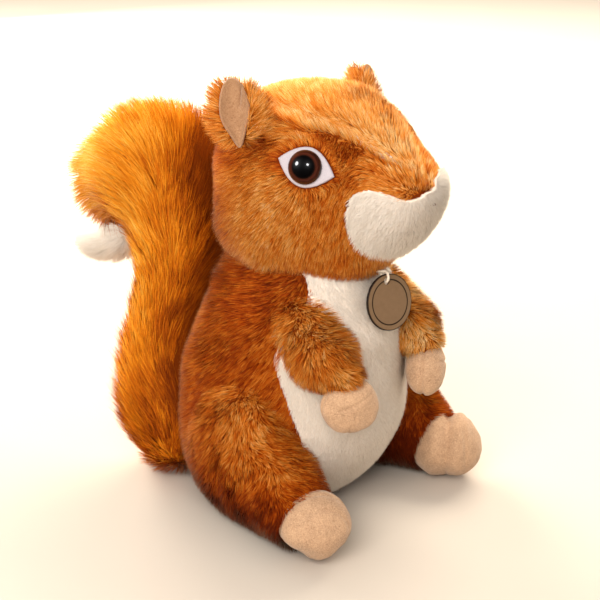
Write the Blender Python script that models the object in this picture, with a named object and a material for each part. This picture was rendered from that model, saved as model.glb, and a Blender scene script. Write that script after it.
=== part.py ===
"""Sitting plush squirrel, about 24 cm tall.

It faces -Y, its own right side is -X, and it sits on the plane z = 0. Units are
metres. Every stuffed part is a fabric cover round its own wadding. The covers are
hollow, and open where the part is sewn on: the head and the body at the neck, the
arms at the shoulder and wrist, the legs at the hip and ankle, the tail at its root.
The round tag swings on its cord loop.
"""

import math

import bmesh
import bpy
import numpy as np
from mathutils import Matrix

# ---------------------------------------------------------------- dimensions
GAP = 0.0003  # between pieces that touch
PLUSH = 0.0050  # short plush, backing and pile
LONG_PLUSH = 0.0130  # tail plush, backing and pile
SUEDE = 0.0016  # hands and feet
FELT = 0.0012  # eye patches

# Head: stations along y (back to snout): half width, top z, bottom z
HEAD_BACK, HEAD_FRONT = 0.0500, -0.0905
HEAD_MID_Z = (0.186, 0.190)  # centre line at the back and at the snout
HEAD_STATIONS = (
    (0.040, 0.0255, 0.2105, 0.1490),
    (0.022, 0.0410, 0.2285, 0.1335),
    (0.000, 0.0490, 0.2365, 0.1285),
    (-0.020, 0.0500, 0.2390, 0.1285),
    (-0.038, 0.0455, 0.2365, 0.1335),
    (-0.052, 0.0382, 0.2300, 0.1405),
    (-0.064, 0.0312, 0.2210, 0.1510),
    (-0.076, 0.0255, 0.2110, 0.1605),
    (-0.083, 0.0205, 0.2045, 0.1690),
    (-0.088, 0.0130, 0.1985, 0.1790),
)
JAW_FULL = 0.27  # how much squarer the jaw is than an ellipse
NECK_HOLE_R = 0.022
NECK_Y = -0.010

# Body: stations up z: half width, half depth, centre y
BODY_TOP = 0.163
BODY_STATIONS = (
    (0.000, 0.0385, 0.0320, 0.0125),
    (0.002, 0.0430, 0.0365, 0.0125),
    (0.008, 0.0505, 0.0440, 0.0120),
    (0.024, 0.0600, 0.0550, 0.0090),
    (0.048, 0.0640, 0.0615, 0.0045),
    (0.070, 0.0625, 0.0618, 0.0030),
    (0.090, 0.0595, 0.0596, 0.0006),
    (0.108, 0.0552, 0.0567, -0.0028),
    (0.125, 0.0475, 0.0493, -0.0050),
    (0.140, 0.0372, 0.0415, -0.0070),
    (0.152, 0.0268, 0.0310, -0.0090),
)

# Leg (right): stations along y: centre x, centre z, half width, half height
LEG_BACK, LEG_FRONT = 0.0360, -0.0700
LEG_STATIONS = (
    (0.026, -0.0455, 0.0400, 0.0175, 0.0280),
    (0.010, -0.0490, 0.0430, 0.0235, 0.0400),
    (-0.010, -0.0510, 0.0430, 0.0250, 0.0430),
    (-0.028, -0.0525, 0.0370, 0.0240, 0.0370),
    (-0.044, -0.0545, 0.0270, 0.0210, 0.0265),
    (-0.058, -0.0560, 0.0205, 0.0165, 0.0185),
)
FOOT_CENTRE = (-0.0572, -0.0618, 0.0186)
FOOT_RADII = (0.0193, 0.0180, 0.0190)  # across, along the sole's normal, up
FOOT_TURN = 32.0  # degrees that the sole turns outwards
ANKLE_R = 0.0100
# the left leg lies a little further out and back, more so toward its foot
LEFT_LEG_SHIFT = (0.0070, 0.0062, 0.0)
LEFT_LEG_FROM, LEFT_LEG_TO = -0.010, -0.050

# Arm (right): spine points and radius
ARM_SPINE = (
    (-0.0225, -0.0080, 0.1180, 0.0150),
    (-0.0275, -0.0250, 0.1170, 0.0192),
    (-0.0325, -0.0410, 0.1052, 0.0199),
    (-0.0335, -0.0535, 0.0982, 0.0180),
    (-0.0330, -0.0600, 0.0940, 0.0140),
)
HAND_CENTRE = (-0.0325, -0.0635, 0.0800)
HAND_RADII = (0.0155, 0.0112, 0.0152)  # across, thick, long
HAND_TURN = 28.0
WRIST_R = 0.0065

# Tail: spine points and radius over the pile
TAIL_SPINE = (
    (-0.0300, 0.0655, 0.0120, 0.0290),
    (-0.0310, 0.0680, 0.0270, 0.0330),
    (-0.0330, 0.0730, 0.0440, 0.0335),
    (-0.0260, 0.0800, 0.0700, 0.0290),
    (-0.0160, 0.0835, 0.0960, 0.0270),
    (-0.0080, 0.0860, 0.1220, 0.0305),
    (-0.0020, 0.0945, 0.1460, 0.0355),
    (0.0000, 0.1090, 0.1650, 0.0385),
)
TAIL_CURL = (0.0, 0.1370, 0.1560)  # the tip, curled back and down
TAIL_CURL_RADII = (0.0290, 0.0325, 0.0310)

# Ears (right)
EAR_BASE = (-0.0425, -0.0040, 0.2100)
EAR_TIP = (-0.0490, 0.0060, 0.2450)
EAR_HALF_WIDTH = 0.0155
EAR_HALF_THICK = 0.0055
EAR_FACING = (-0.80, -0.58, 0.10)
LEFT_EAR_SHIFT = (0.0, -0.0040, -0.0090)  # the ears are not sewn quite level
LEFT_EAR_FACING = (-0.95, -0.25, 0.10)  # mirrored; this ear is turned further outwards
EAR_LINING = 0.0014

# Eyes (right)
EYE_CENTRE = (-0.0416, -0.0401, 0.2053)
EYE_NORMAL = (-0.84, -0.45, 0.31)
EYE_R = 0.0086
EYE_DOME = 0.0056
EYE_SINK = 0.0040  # the felt lies on the backing, below the tips of the pile
SHANK_R = 0.0016
SHANK_LENGTH = 0.0125
WASHER_R = 0.0062
WASHER_THICK = 0.0014
EYE_PATCH_HALF = (0.0154, 0.0102)
EYE_PATCH_TILT = 14.0

# Tag
TAG_R = 0.0150
TAG_THICK = 0.0016
TAG_CENTRE = (0.0, -0.0625, 0.1275)
TAG_LEAN = 14.0  # degrees that its lower edge stands forward
TAG_TURN = 10.0  # degrees that it faces the toy's right
TAG_HOLE_R = 0.0020
TAG_HOLE_UP = 0.0112
LOOP_R = 0.0007
LOOP_TOP = (-0.0015, -0.0555, 0.1432)  # sewn end of the loop, where the tag swings
LOOP_POCKET_R = 0.0033


# ---------------------------------------------------------------- helpers
for old in list(bpy.data.objects):
    bpy.data.objects.remove(old, do_unlink=True)


def pchip(xs, ys):
    """A smooth curve through the stations that never overshoots them."""
    order = np.argsort(xs)
    x, y = np.asarray(xs, float)[order], np.asarray(ys, float)[order]
    h, d = np.diff(x), np.diff(y) / np.diff(x)
    m = np.zeros(len(x))
    m[0], m[-1] = d[0], d[-1]
    for i in range(1, len(x) - 1):
        if d[i - 1] * d[i] > 0:
            w1, w2 = 2 * h[i] + h[i - 1], h[i] + 2 * h[i - 1]
            m[i] = (w1 + w2) / (w1 / d[i - 1] + w2 / d[i])

    def at(v):
        v = np.clip(v, x[0], x[-1])
        i = int(min(max(np.searchsorted(x, v) - 1, 0), len(x) - 2))
        t = (v - x[i]) / h[i]
        return float(
            (2 * t**3 - 3 * t**2 + 1) * y[i]
            + (t**3 - 2 * t**2 + t) * h[i] * m[i]
            + (3 * t**2 - 2 * t**3) * y[i + 1]
            + (t**3 - t**2) * h[i] * m[i + 1]
        )

    return at


def material(name, colour, roughness, metallic=0.0):
    found = bpy.data.materials.get(name)
    if found:
        return found
    made = bpy.data.materials.new(name)
    made.use_nodes = True
    made.diffuse_color = (*colour, 1)
    shader = made.node_tree.nodes["Principled BSDF"]
    shader.inputs["Base Color"].default_value = (*colour, 1)
    shader.inputs["Roughness"].default_value = roughness
    shader.inputs["Metallic"].default_value = metallic
    return made


ORANGE = ("orange_plush", (0.44, 0.115, 0.012), 0.9)
GOLD = ("golden_plush", (0.56, 0.23, 0.022), 0.9)
CREAM = ("white_plush", (0.80, 0.72, 0.64), 0.9)
BEIGE = ("beige_suede", (0.67, 0.40, 0.24), 0.85)
LINING = ("ear_suede", (0.58, 0.36, 0.22), 0.85)
FELT_WHITE = ("white_felt", (0.68, 0.65, 0.66), 0.9)
EYE_BROWN = ("brown_eye", (0.045, 0.015, 0.010), 0.12)
WADDING = ("wadding", (0.85, 0.85, 0.83), 1.0)
WASHER = ("white_plastic", (0.75, 0.75, 0.73), 0.4)
TAG_BOARD = ("tag_board", (0.26, 0.20, 0.14), 0.6)
LOOP_CORD = ("cream_cord", (0.72, 0.62, 0.50), 0.85)


def mesh_object(name, points, faces, look, cutter=False):
    data = bpy.data.meshes.new(name)
    data.from_pydata([tuple(p) for p in points], [], faces)
    work = bmesh.new()
    work.from_mesh(data)
    bmesh.ops.recalc_face_normals(work, faces=work.faces)
    work.to_mesh(data)
    work.free()
    made = bpy.data.objects.new(name, data)
    bpy.context.scene.collection.objects.link(made)
    data.shade_smooth()
    if cutter:
        made.hide_render = True
        made.display_type = "WIRE"
    else:
        data.materials.append(material(*look))
        data.set_sharp_from_angle(angle=math.radians(50))
    return made


def skin_rings(rings, first=None, last=None):
    """Points and faces of a closed loft: rings of equal length, with a pole or a flat
    cap at each end."""
    points = [p for ring in rings for p in ring]
    n, faces = len(rings[0]), []
    for k in range(len(rings) - 1):
        for j in range(n):
            a, b = k * n + j, k * n + (j + 1) % n
            faces.append((a, b, b + n, a + n))
    top = (len(rings) - 1) * n
    if first is None:
        faces.append(tuple(range(n))[::-1])
    else:
        points.append(first)
        faces += [(len(points) - 1, (j + 1) % n, j) for j in range(n)]
    if last is None:
        faces.append(tuple(range(top, top + n)))
    else:
        points.append(last)
        faces += [(len(points) - 1, top + j, top + (j + 1) % n) for j in range(n)]
    return np.array(points, float), faces


def offset(points, faces, by):
    """The same surface moved out along its normals."""
    normals = np.zeros_like(points)
    for face in faces:
        corner = points[list(face)]
        area = np.zeros(3)
        for i in range(1, len(face) - 1):
            area += np.cross(corner[i] - corner[0], corner[i + 1] - corner[0])
        for v in face:
            normals[v] += area
    normals /= np.linalg.norm(normals, axis=1)[:, None] + 1e-12
    middle = points.mean(0)
    if ((points - middle) * normals).sum() < 0:
        normals = -normals
    return points + normals * by


def mirrored(points):
    return points * np.array([-1.0, 1.0, 1.0])


def floor_at(points, z):
    points = points.copy()
    points[:, 2] = np.maximum(points[:, 2], z)
    return points


# ---------------------------------------------------------------- surfaces
def smooth(lo, hi, x):
    t = min(max((x - lo) / (hi - lo), 0.0), 1.0)
    return t * t * (3 - 2 * t)


def head_surface(along, around, grow=0.0):
    half, mid = (HEAD_BACK - HEAD_FRONT) / 2, (HEAD_BACK + HEAD_FRONT) / 2
    ys = [s[0] for s in HEAD_STATIONS]

    def end(y):
        return math.sqrt(max(1 - ((y - mid) / half) ** 2, 0))

    def centre(y):
        t = (HEAD_BACK - y) / (2 * half)
        return HEAD_MID_Z[0] + (HEAD_MID_Z[1] - HEAD_MID_Z[0]) * t

    wide = pchip(ys, [s[1] / end(s[0]) for s in HEAD_STATIONS])
    up = pchip(ys, [(s[2] - centre(s[0])) / end(s[0]) for s in HEAD_STATIONS])
    down = pchip(ys, [(centre(s[0]) - s[3]) / end(s[0]) for s in HEAD_STATIONS])
    rings = []
    for k in range(1, along):
        y = mid + half * math.cos(math.pi * k / along)
        e, c = end(y), centre(y)
        ring = []
        for j in range(around):
            a = 2 * math.pi * j / around
            s, t = math.sin(a), math.cos(a)
            high = up(y) if t > 0 else down(y)
            q = 1 - JAW_FULL * smooth(-0.030, 0.005, y) * smooth(0.25, -0.25, t)
            s, t = (math.copysign(abs(v) ** q, v) for v in (s, t))
            ring.append((wide(y) * e * s, y, c + high * e * t))
        rings.append(ring)
    points, faces = skin_rings(
        rings, (0, HEAD_BACK, centre(HEAD_BACK)), (0, HEAD_FRONT, centre(HEAD_FRONT))
    )
    return (offset(points, faces, grow) if grow else points), faces


def body_surface(along, around, grow=0.0):
    zs = [s[0] for s in BODY_STATIONS]

    def end(z):
        return math.sqrt(max(1 - z / BODY_TOP, 0))

    wide = pchip(zs, [s[1] / end(s[0]) for s in BODY_STATIONS])
    deep = pchip(zs, [s[2] / end(s[0]) for s in BODY_STATIONS])
    shift = pchip(zs, [s[3] for s in BODY_STATIONS])
    levels = [0.0, 0.0020, 0.0055] + [
        0.0055 + (BODY_TOP - 0.0055) * math.sin(math.pi / 2 * k / along)
        for k in range(1, along)
    ]
    rings = []
    for z in levels:
        rings.append(
            [
                (
                    wide(z) * end(z) * math.sin(2 * math.pi * j / around),
                    shift(z) + deep(z) * end(z) * math.cos(2 * math.pi * j / around),
                    z,
                )
                for j in range(around)
            ]
        )
    points, faces = skin_rings(rings, None, (0, shift(BODY_TOP), BODY_TOP))
    return (offset(points, faces, grow) if grow else points), faces


def leg_surface(along, around, grow=0.0):
    half, mid = (LEG_BACK - LEG_FRONT) / 2, (LEG_BACK + LEG_FRONT) / 2
    ys = [s[0] for s in LEG_STATIONS]

    def end(y):
        return math.sqrt(max(1 - ((y - mid) / half) ** 2, 0))

    cx = pchip(ys, [s[1] for s in LEG_STATIONS])
    cz = pchip(ys, [s[2] for s in LEG_STATIONS])
    wide = pchip(ys, [s[3] / end(s[0]) for s in LEG_STATIONS])
    high = pchip(ys, [s[4] / end(s[0]) for s in LEG_STATIONS])
    rings = []
    for k in range(1, along):
        y = mid + half * math.cos(math.pi * k / along)
        e = end(y)
        rings.append(
            [
                (
                    cx(y) + wide(y) * e * math.sin(2 * math.pi * j / around),
                    y,
                    cz(y) + high(y) * e * math.cos(2 * math.pi * j / around),
                )
                for j in range(around)
            ]
        )
    points, faces = skin_rings(
        rings, (cx(LEG_BACK), LEG_BACK, cz(LEG_BACK)), (cx(LEG_FRONT), LEG_FRONT, cz(LEG_FRONT))
    )
    points = offset(points, faces, grow) if grow else points
    return floor_at(points, max(-grow, 0.0002)), faces


def ellipsoid(centre, radii, turn, rings_n, around, grow=0.0, floor=None, lean=0.0):
    """Poles along local y, which is the sole's or the palm's normal."""
    spin = Matrix.Rotation(math.radians(turn), 3, "Z") @ Matrix.Rotation(
        math.radians(lean), 3, "X"
    )
    rx, ry, rz = (r + grow for r in radii)
    rings = []
    for k in range(1, rings_n):
        a = math.pi * k / rings_n
        rings.append(
            [
                (
                    rx * math.sin(a) * math.sin(2 * math.pi * j / around),
                    ry * math.cos(a),
                    rz * math.sin(a) * math.cos(2 * math.pi * j / around),
                )
                for j in range(around)
            ]
        )
    points, faces = skin_rings(rings, (0, ry, 0), (0, -ry, 0))
    points = points @ np.array(spin).T + np.array(centre)
    if floor is not None:
        points = floor_at(points, floor)
    return points, faces


def spine_curve(knots, count):
    """Points and radii on a smooth curve through the knots, evenly spaced."""
    knots = np.array(knots, float)
    steps = np.linalg.norm(np.diff(knots[:, :3], axis=0), axis=1)
    run = np.concatenate([[0], np.cumsum(steps)])
    padded = np.vstack([2 * knots[0] - knots[1], knots, 2 * knots[-1] - knots[-2]])
    dense = []
    for i in range(len(knots) - 1):
        p0, p1, p2, p3 = padded[i : i + 4]
        for t in np.linspace(0, 1, 24, endpoint=i == len(knots) - 2):
            dense.append(
                0.5
                * (
                    2 * p1
                    + (p2 - p0) * t
                    + (2 * p0 - 5 * p1 + 4 * p2 - p3) * t**2
                    + (3 * p1 - p0 - 3 * p2 + p3) * t**3
                )
            )
    dense = np.array(dense)
    run = np.concatenate(
        [[0], np.cumsum(np.linalg.norm(np.diff(dense[:, :3], axis=0), axis=1))]
    )
    at = np.linspace(0, run[-1], count)
    return np.stack([np.interp(at, run, dense[:, k]) for k in range(4)], 1)


def tube_surface(knots, along, around, inset=0.0, lift=0.0, floor=None, round_start=False):
    """A tube round a spine, with a domed end, and a flat or domed start. lift moves the
    flat start along the spine."""
    line = spine_curve(knots, along + 1)
    tangents = np.gradient(line[:, :3], axis=0)
    tangents /= np.linalg.norm(tangents, axis=1)[:, None]
    line[0, :3] += tangents[0] * lift
    side = np.cross(tangents[0], [1.0, 0.0, 0.0])
    side /= np.linalg.norm(side)
    rings = []
    for k, (row, t) in enumerate(zip(line, tangents)):
        side = side - t * (side @ t)
        side /= np.linalg.norm(side)
        other = np.cross(t, side)
        r = max(row[3] - inset, 0.002)
        rings.append(
            [
                row[:3]
                + r * math.cos(2 * math.pi * j / around) * side
                + r * math.sin(2 * math.pi * j / around) * other
                for j in range(around)
            ]
        )

    def dome(row, t, side_v, other_v, r):
        found = []
        for q in (0.45, 0.8):
            s, u = math.cos(math.asin(q)), q
            found.append(
                [
                    row[:3]
                    + t * r * u * 0.9
                    + r * s * math.cos(2 * math.pi * j / around) * side_v
                    + r * s * math.sin(2 * math.pi * j / around) * other_v
                    for j in range(around)
                ]
            )
        return found, row[:3] + t * r * 0.98

    r_end = max(line[-1][3] - inset, 0.002)
    t_end = tangents[-1]
    caps, tip = dome(line[-1], t_end, side, np.cross(t_end, side), r_end)
    rings += caps
    first = None
    if round_start:
        r0 = max(line[0][3] - inset, 0.002)
        first = line[0][:3] - tangents[0] * r0 * 0.6
    points, faces = skin_rings(rings, first, tip)
    if floor is not None:
        points = floor_at(points, floor)
    return points, faces


def cut(target, *cutters, how="DIFFERENCE"):
    for cutter in cutters:
        step = target.modifiers.new(f"{how.lower()}_{cutter.name}"[:60], "BOOLEAN")
        step.operation = how
        step.solver = "EXACT"
        step.object = cutter


def unit(v):
    v = np.array(v, float)
    return v / np.linalg.norm(v)


def cylinder(name, centre, axis, radius, length, look, cutter=False, around=20, steps=None):
    """A turned piece: steps are (distance along the axis, radius)."""
    axis = unit(axis)
    side = unit(np.cross(axis, [0.0, 0.0, 1.0] if abs(axis[2]) < 0.9 else [1.0, 0.0, 0.0]))
    other = np.cross(axis, side)
    steps = steps or ((-length / 2, radius), (length / 2, radius))
    rings = [
        [
            np.array(centre)
            + axis * d
            + r * math.cos(2 * math.pi * j / around) * side
            + r * math.sin(2 * math.pi * j / around) * other
            for j in range(around)
        ]
        for d, r in steps
        if r > 0
    ]
    first = np.array(centre) + axis * steps[0][0] if steps[0][1] == 0 else None
    last = np.array(centre) + axis * steps[-1][0] if steps[-1][1] == 0 else None
    points, faces = skin_rings(rings, first, last)
    return mesh_object(name, points, faces, look, cutter)


def prism(name, outline, axis, low, high, cutter=True):
    """An outline extruded along x or y."""
    points = []
    for level in (low, high):
        for a, b in outline:
            points.append((level, a, b) if axis == "x" else (a, level, b))
    n = len(outline)
    faces = [tuple(range(n)), tuple(range(n, 2 * n))]
    faces += [(j, (j + 1) % n, n + (j + 1) % n, n + j) for j in range(n)]
    return mesh_object(name, points, faces, None, cutter)


def smooth_outline(corners, per_side=4):
    """A closed smooth curve through the corners."""
    corners = np.array(corners, float)
    n, found = len(corners), []
    for i in range(n):
        p0, p1, p2, p3 = (corners[(i + k) % n] for k in (-1, 0, 1, 2))
        for t in np.arange(per_side) / per_side:
            found.append(
                0.5
                * (
                    2 * p1
                    + (p2 - p0) * t
                    + (2 * p0 - 5 * p1 + 4 * p2 - p3) * t**2
                    + (3 * p1 - p0 - 3 * p2 + p3) * t**3
                )
            )
    return np.array(found)


def grown_outline(outline, by):
    ahead, behind = np.roll(outline, -1, 0), np.roll(outline, 1, 0)
    along = ahead - behind
    along /= np.linalg.norm(along, axis=1)[:, None]
    normal = np.stack([along[:, 1], -along[:, 0]], 1)
    area = (outline[:, 0] * ahead[:, 1] - ahead[:, 0] * outline[:, 1]).sum()
    return outline + normal * (by if area > 0 else -by)


# ---------------------------------------------------------------- cutters
head_fine, body_fine = (18, 28), (14, 28)
head_room = mesh_object("cut_head", *head_surface(*head_fine, GAP), None, True)
head_hollow = mesh_object("cut_head_hollow", *head_surface(12, 16, -PLUSH), None, True)
body_room = mesh_object("cut_body", *body_surface(*body_fine, GAP), None, True)
body_hollow = mesh_object("cut_body_hollow", *body_surface(8, 16, -PLUSH), None, True)
neck_hole = cylinder(
    "cut_neck", (0, NECK_Y, 0.140), (0, 0, 1), NECK_HOLE_R, 0.05, None, True, 24
)

MUZZLE_OUTLINE = smooth_outline(
    (
        (-0.1100, 0.1970),
        (-0.0905, 0.1945),
        (-0.0880, 0.1915),
        (-0.0850, 0.1910),
        (-0.0800, 0.1935),
        (-0.0740, 0.1953),
        (-0.0680, 0.1955),
        (-0.0638, 0.1938),
        (-0.0610, 0.1895),
        (-0.0600, 0.1830),
        (-0.0597, 0.1750),
        (-0.0602, 0.1670),
        (-0.0635, 0.1600),
        (-0.0690, 0.1550),
        (-0.0780, 0.1480),
        (-0.0950, 0.1400),
        (-0.1150, 0.1400),
    ),
    2,
)
muzzle_cut = prism("cut_muzzle", MUZZLE_OUTLINE, "x", -0.060, 0.060)
muzzle_room = prism(
    "cut_muzzle_room", grown_outline(MUZZLE_OUTLINE, GAP), "x", -0.0605, 0.0605
)

PANEL_HALF = (
    (0.0250, 0.1600),
    (0.0285, 0.1400),
    (0.0375, 0.1230),
    (0.0480, 0.1080),
    (0.0500, 0.0950),
    (0.0465, 0.0720),
    (0.0410, 0.0480),
    (0.0340, 0.0260),
    (0.0220, 0.0090),
    (0.0080, 0.0060),
)
PANEL_OUTLINE = smooth_outline(
    PANEL_HALF + tuple((-x, z) for x, z in reversed(PANEL_HALF)), 2
)
panel_cut = prism("cut_panel", PANEL_OUTLINE, "y", -0.100, -0.012)
panel_room = prism(
    "cut_panel_room", grown_outline(PANEL_OUTLINE, GAP), "y", -0.101, -0.012 + GAP
)


# ---------------------------------------------------------------- head
head_skin = mesh_object("head_skin", *head_surface(*head_fine), ORANGE)
cut(head_skin, head_hollow, neck_hole, muzzle_room)
muzzle = mesh_object("muzzle_patch", *head_surface(*head_fine), CREAM)
cut(muzzle, head_hollow)
cut(muzzle, muzzle_cut, how="INTERSECT")
head_filling = mesh_object("head_filling", *head_surface(12, 16, -PLUSH - 2 * GAP), WADDING)

# ---------------------------------------------------------------- body
body_skin = mesh_object("body_skin", *body_surface(*body_fine), ORANGE)
cut(body_skin, body_hollow, head_room, panel_room)
belly = mesh_object("belly_panel", *body_surface(*body_fine), CREAM)
cut(belly, body_hollow, head_room)
cut(belly, panel_cut, how="INTERSECT")
body_filling = mesh_object("body_filling", *body_surface(8, 16, -PLUSH - 2 * GAP), WADDING)
cut(body_filling, head_room)


# ---------------------------------------------------------------- limbs
def leg_core(inset, around=12):
    """The leg's wadding: the haunch, the ankle's neck, and the inside of the foot."""
    foot = np.array(FOOT_CENTRE)
    knots = []
    for y, cx, cz, wide, high in LEG_STATIONS:
        if y > -0.05:
            knots.append((y, cx, cz, wide - inset, high - inset))
    rings = []
    ys = np.array([k[0] for k in knots])
    curves = [pchip(ys, [k[i] for k in knots]) for i in range(1, 5)]
    for y in np.linspace(ys.max(), ys.min() + 0.001, 7):
        cx, cz, wide, high = (f(y) for f in curves)
        rings.append((y, cx, cz, wide, high))
    shrink = inset - PLUSH
    rings.append((-0.0470, -0.0550, 0.0215, ANKLE_R + 0.002 - shrink, ANKLE_R + 0.002 - shrink))
    rings.append((-0.0515, -0.0555, 0.0200, ANKLE_R - shrink, ANKLE_R - shrink))
    for t in (0.12, 0.45, 0.80):
        y = -0.0550 - t * 0.0190
        r = 0.0150 * math.sqrt(max(1 - ((t - 0.35) / 0.62) ** 2, 0.05)) - shrink
        rings.append((y, foot[0], foot[2] + 0.0006, r, r))
    made = []
    for y, cx, cz, wide, high in rings:
        made.append(
            [
                (
                    cx + wide * math.sin(2 * math.pi * j / around),
                    y,
                    cz + high * math.cos(2 * math.pi * j / around),
                )
                for j in range(around)
            ]
        )
    back = rings[0]
    points, faces = skin_rings(
        made,
        (back[1], back[0] + 0.0035 - shrink, back[2]),
        (rings[-1][1], rings[-1][0] - 0.0018 + shrink, rings[-1][2]),
    )
    return floor_at(points, 0.0002 + inset), faces


def arm_core(inset):
    """The arm's wadding, down through the wrist into the hand."""
    hand = np.array(HAND_CENTRE)
    shrink = inset - PLUSH
    knots = [(*k[:3], max(k[3] - inset, WRIST_R)) for k in ARM_SPINE[:4]]
    knots.append((*(hand + np.array([0, 0.0010, 0.0120])), WRIST_R - shrink))
    knots.append((*(hand + np.array([0, 0, 0.0040])), 0.0078 - shrink))
    knots.append((*(hand - np.array([0, 0, 0.0040])), 0.0066 - shrink))
    return tube_surface(knots, 14, 12)


for side, sign in (("right", -1), ("left", 1)):

    def place(points):
        return points if sign < 0 else mirrored(points)

    def place_leg(points):
        if sign < 0:
            return points
        points = mirrored(np.array(points, float))
        forward = np.array([smooth(LEFT_LEG_FROM, LEFT_LEG_TO, y) for y in points[:, 1]])
        return points + forward[:, None] * np.array(LEFT_LEG_SHIFT)

    # leg
    points, faces = leg_core(PLUSH)
    hollow = mesh_object(f"cut_{side}_leg_hollow", place_leg(points), faces, None, True)
    points, faces = ellipsoid(
        FOOT_CENTRE, FOOT_RADII, -FOOT_TURN, 9, 20, GAP, -GAP
    )
    foot_room = mesh_object(f"cut_{side}_foot", place_leg(points), faces, None, True)
    points, faces = leg_surface(13, 20)
    leg = mesh_object(f"{side}_leg_skin", place_leg(points), faces, ORANGE)
    cut(leg, body_room, foot_room, hollow)
    points, faces = ellipsoid(FOOT_CENTRE, FOOT_RADII, -FOOT_TURN, 9, 20, 0.0, 0.0)
    foot = mesh_object(f"{side}_foot", place_leg(points), faces, BEIGE)
    cut(foot, hollow)
    points, faces = leg_core(PLUSH + 2 * GAP)
    wad = mesh_object(f"{side}_leg_filling", place_leg(points), faces, WADDING)
    cut(wad, body_room)
    # arm
    points, faces = arm_core(PLUSH)
    hollow = mesh_object(f"cut_{side}_arm_hollow", place(points), faces, None, True)
    points, faces = ellipsoid(
        HAND_CENTRE, HAND_RADII, -HAND_TURN, 7, 16, GAP
    )
    hand_room = mesh_object(f"cut_{side}_hand", place(points), faces, None, True)
    points, faces = tube_surface(ARM_SPINE, 10, 16)
    arm = mesh_object(f"{side}_arm_skin", place(points), faces, ORANGE)
    cut(arm, body_room, head_room, hand_room, hollow)
    points, faces = ellipsoid(HAND_CENTRE, HAND_RADII, -HAND_TURN, 7, 16)
    hand = mesh_object(f"{side}_hand", place(points), faces, BEIGE)
    cut(hand, body_room, hollow)
    points, faces = arm_core(PLUSH + 2 * GAP)
    wad = mesh_object(f"{side}_arm_filling", place(points), faces, WADDING)
    cut(wad, body_room, head_room)

# ---------------------------------------------------------------- tail
def tail_pieces(name, along, around, inset, lift, round_start, look):
    """The tail's stem, and the curled tip that joins it."""
    cutter = look is None
    stem = mesh_object(
        name,
        *tube_surface(TAIL_SPINE, along, around, inset, lift, 0.0002, round_start),
        look,
        cutter,
    )
    tip = mesh_object(
        f"cut_{name}_tip",
        *ellipsoid(TAIL_CURL, TAIL_CURL_RADII, 0.0, 10, around, -inset),
        None,
        True,
    )
    return stem, tip


hollow_stem, hollow_tip = tail_pieces(
    "cut_tail_hollow", 14, 14, LONG_PLUSH, 0.0045, False, None
)
tail_skin, skin_tip = tail_pieces("tail_skin", 16, 22, 0.0, 0.0, True, GOLD)
cut(tail_skin, skin_tip, how="UNION")
cut(tail_skin, hollow_stem, hollow_tip, body_room)
tail_filling, filling_tip = tail_pieces(
    "tail_filling", 14, 14, LONG_PLUSH + GAP, 0.0045 + 2 * GAP, False, WADDING
)
cut(tail_filling, filling_tip, how="UNION")
cut(tail_filling, body_room)


# ---------------------------------------------------------------- ears and eyes
backing = mesh_object(
    "cut_head_backing", *head_surface(*head_fine, -EYE_SINK - GAP), None, True
)
patch_back = mesh_object(
    "cut_patch_back", *head_surface(*head_fine, -EYE_SINK), None, True
)


def leaf(base, tip, facing, half_width, half_thick, grow=0.0, along=9, around=14):
    """A flat leaf: pointed oval in front view, oval in section."""
    base, tip = np.array(base), np.array(tip)
    up = unit(tip - base)
    face = unit(np.array(facing) - up * (np.array(facing) @ up))
    side = np.cross(up, face)
    length = np.linalg.norm(tip - base)
    rings = []
    for k in range(1, along):
        t = 0.5 - 0.5 * math.cos(math.pi * k / along)
        w = half_width * math.sin(math.pi * min(t * 0.80 + 0.17, 1.0)) ** 0.8 + grow
        th = half_thick * (0.35 + 0.65 * math.sin(math.pi * t)) + grow
        if k == along - 1:
            w, th = w * 0.75, th * 0.8
        centre = base + up * length * t
        rings.append(
            [
                centre
                + side * w * math.cos(2 * math.pi * j / around)
                + face * th * math.sin(2 * math.pi * j / around)
                for j in range(around)
            ]
        )
    return skin_rings(rings, base - up * grow, tip + up * grow), (up, face, side, length)


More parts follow.
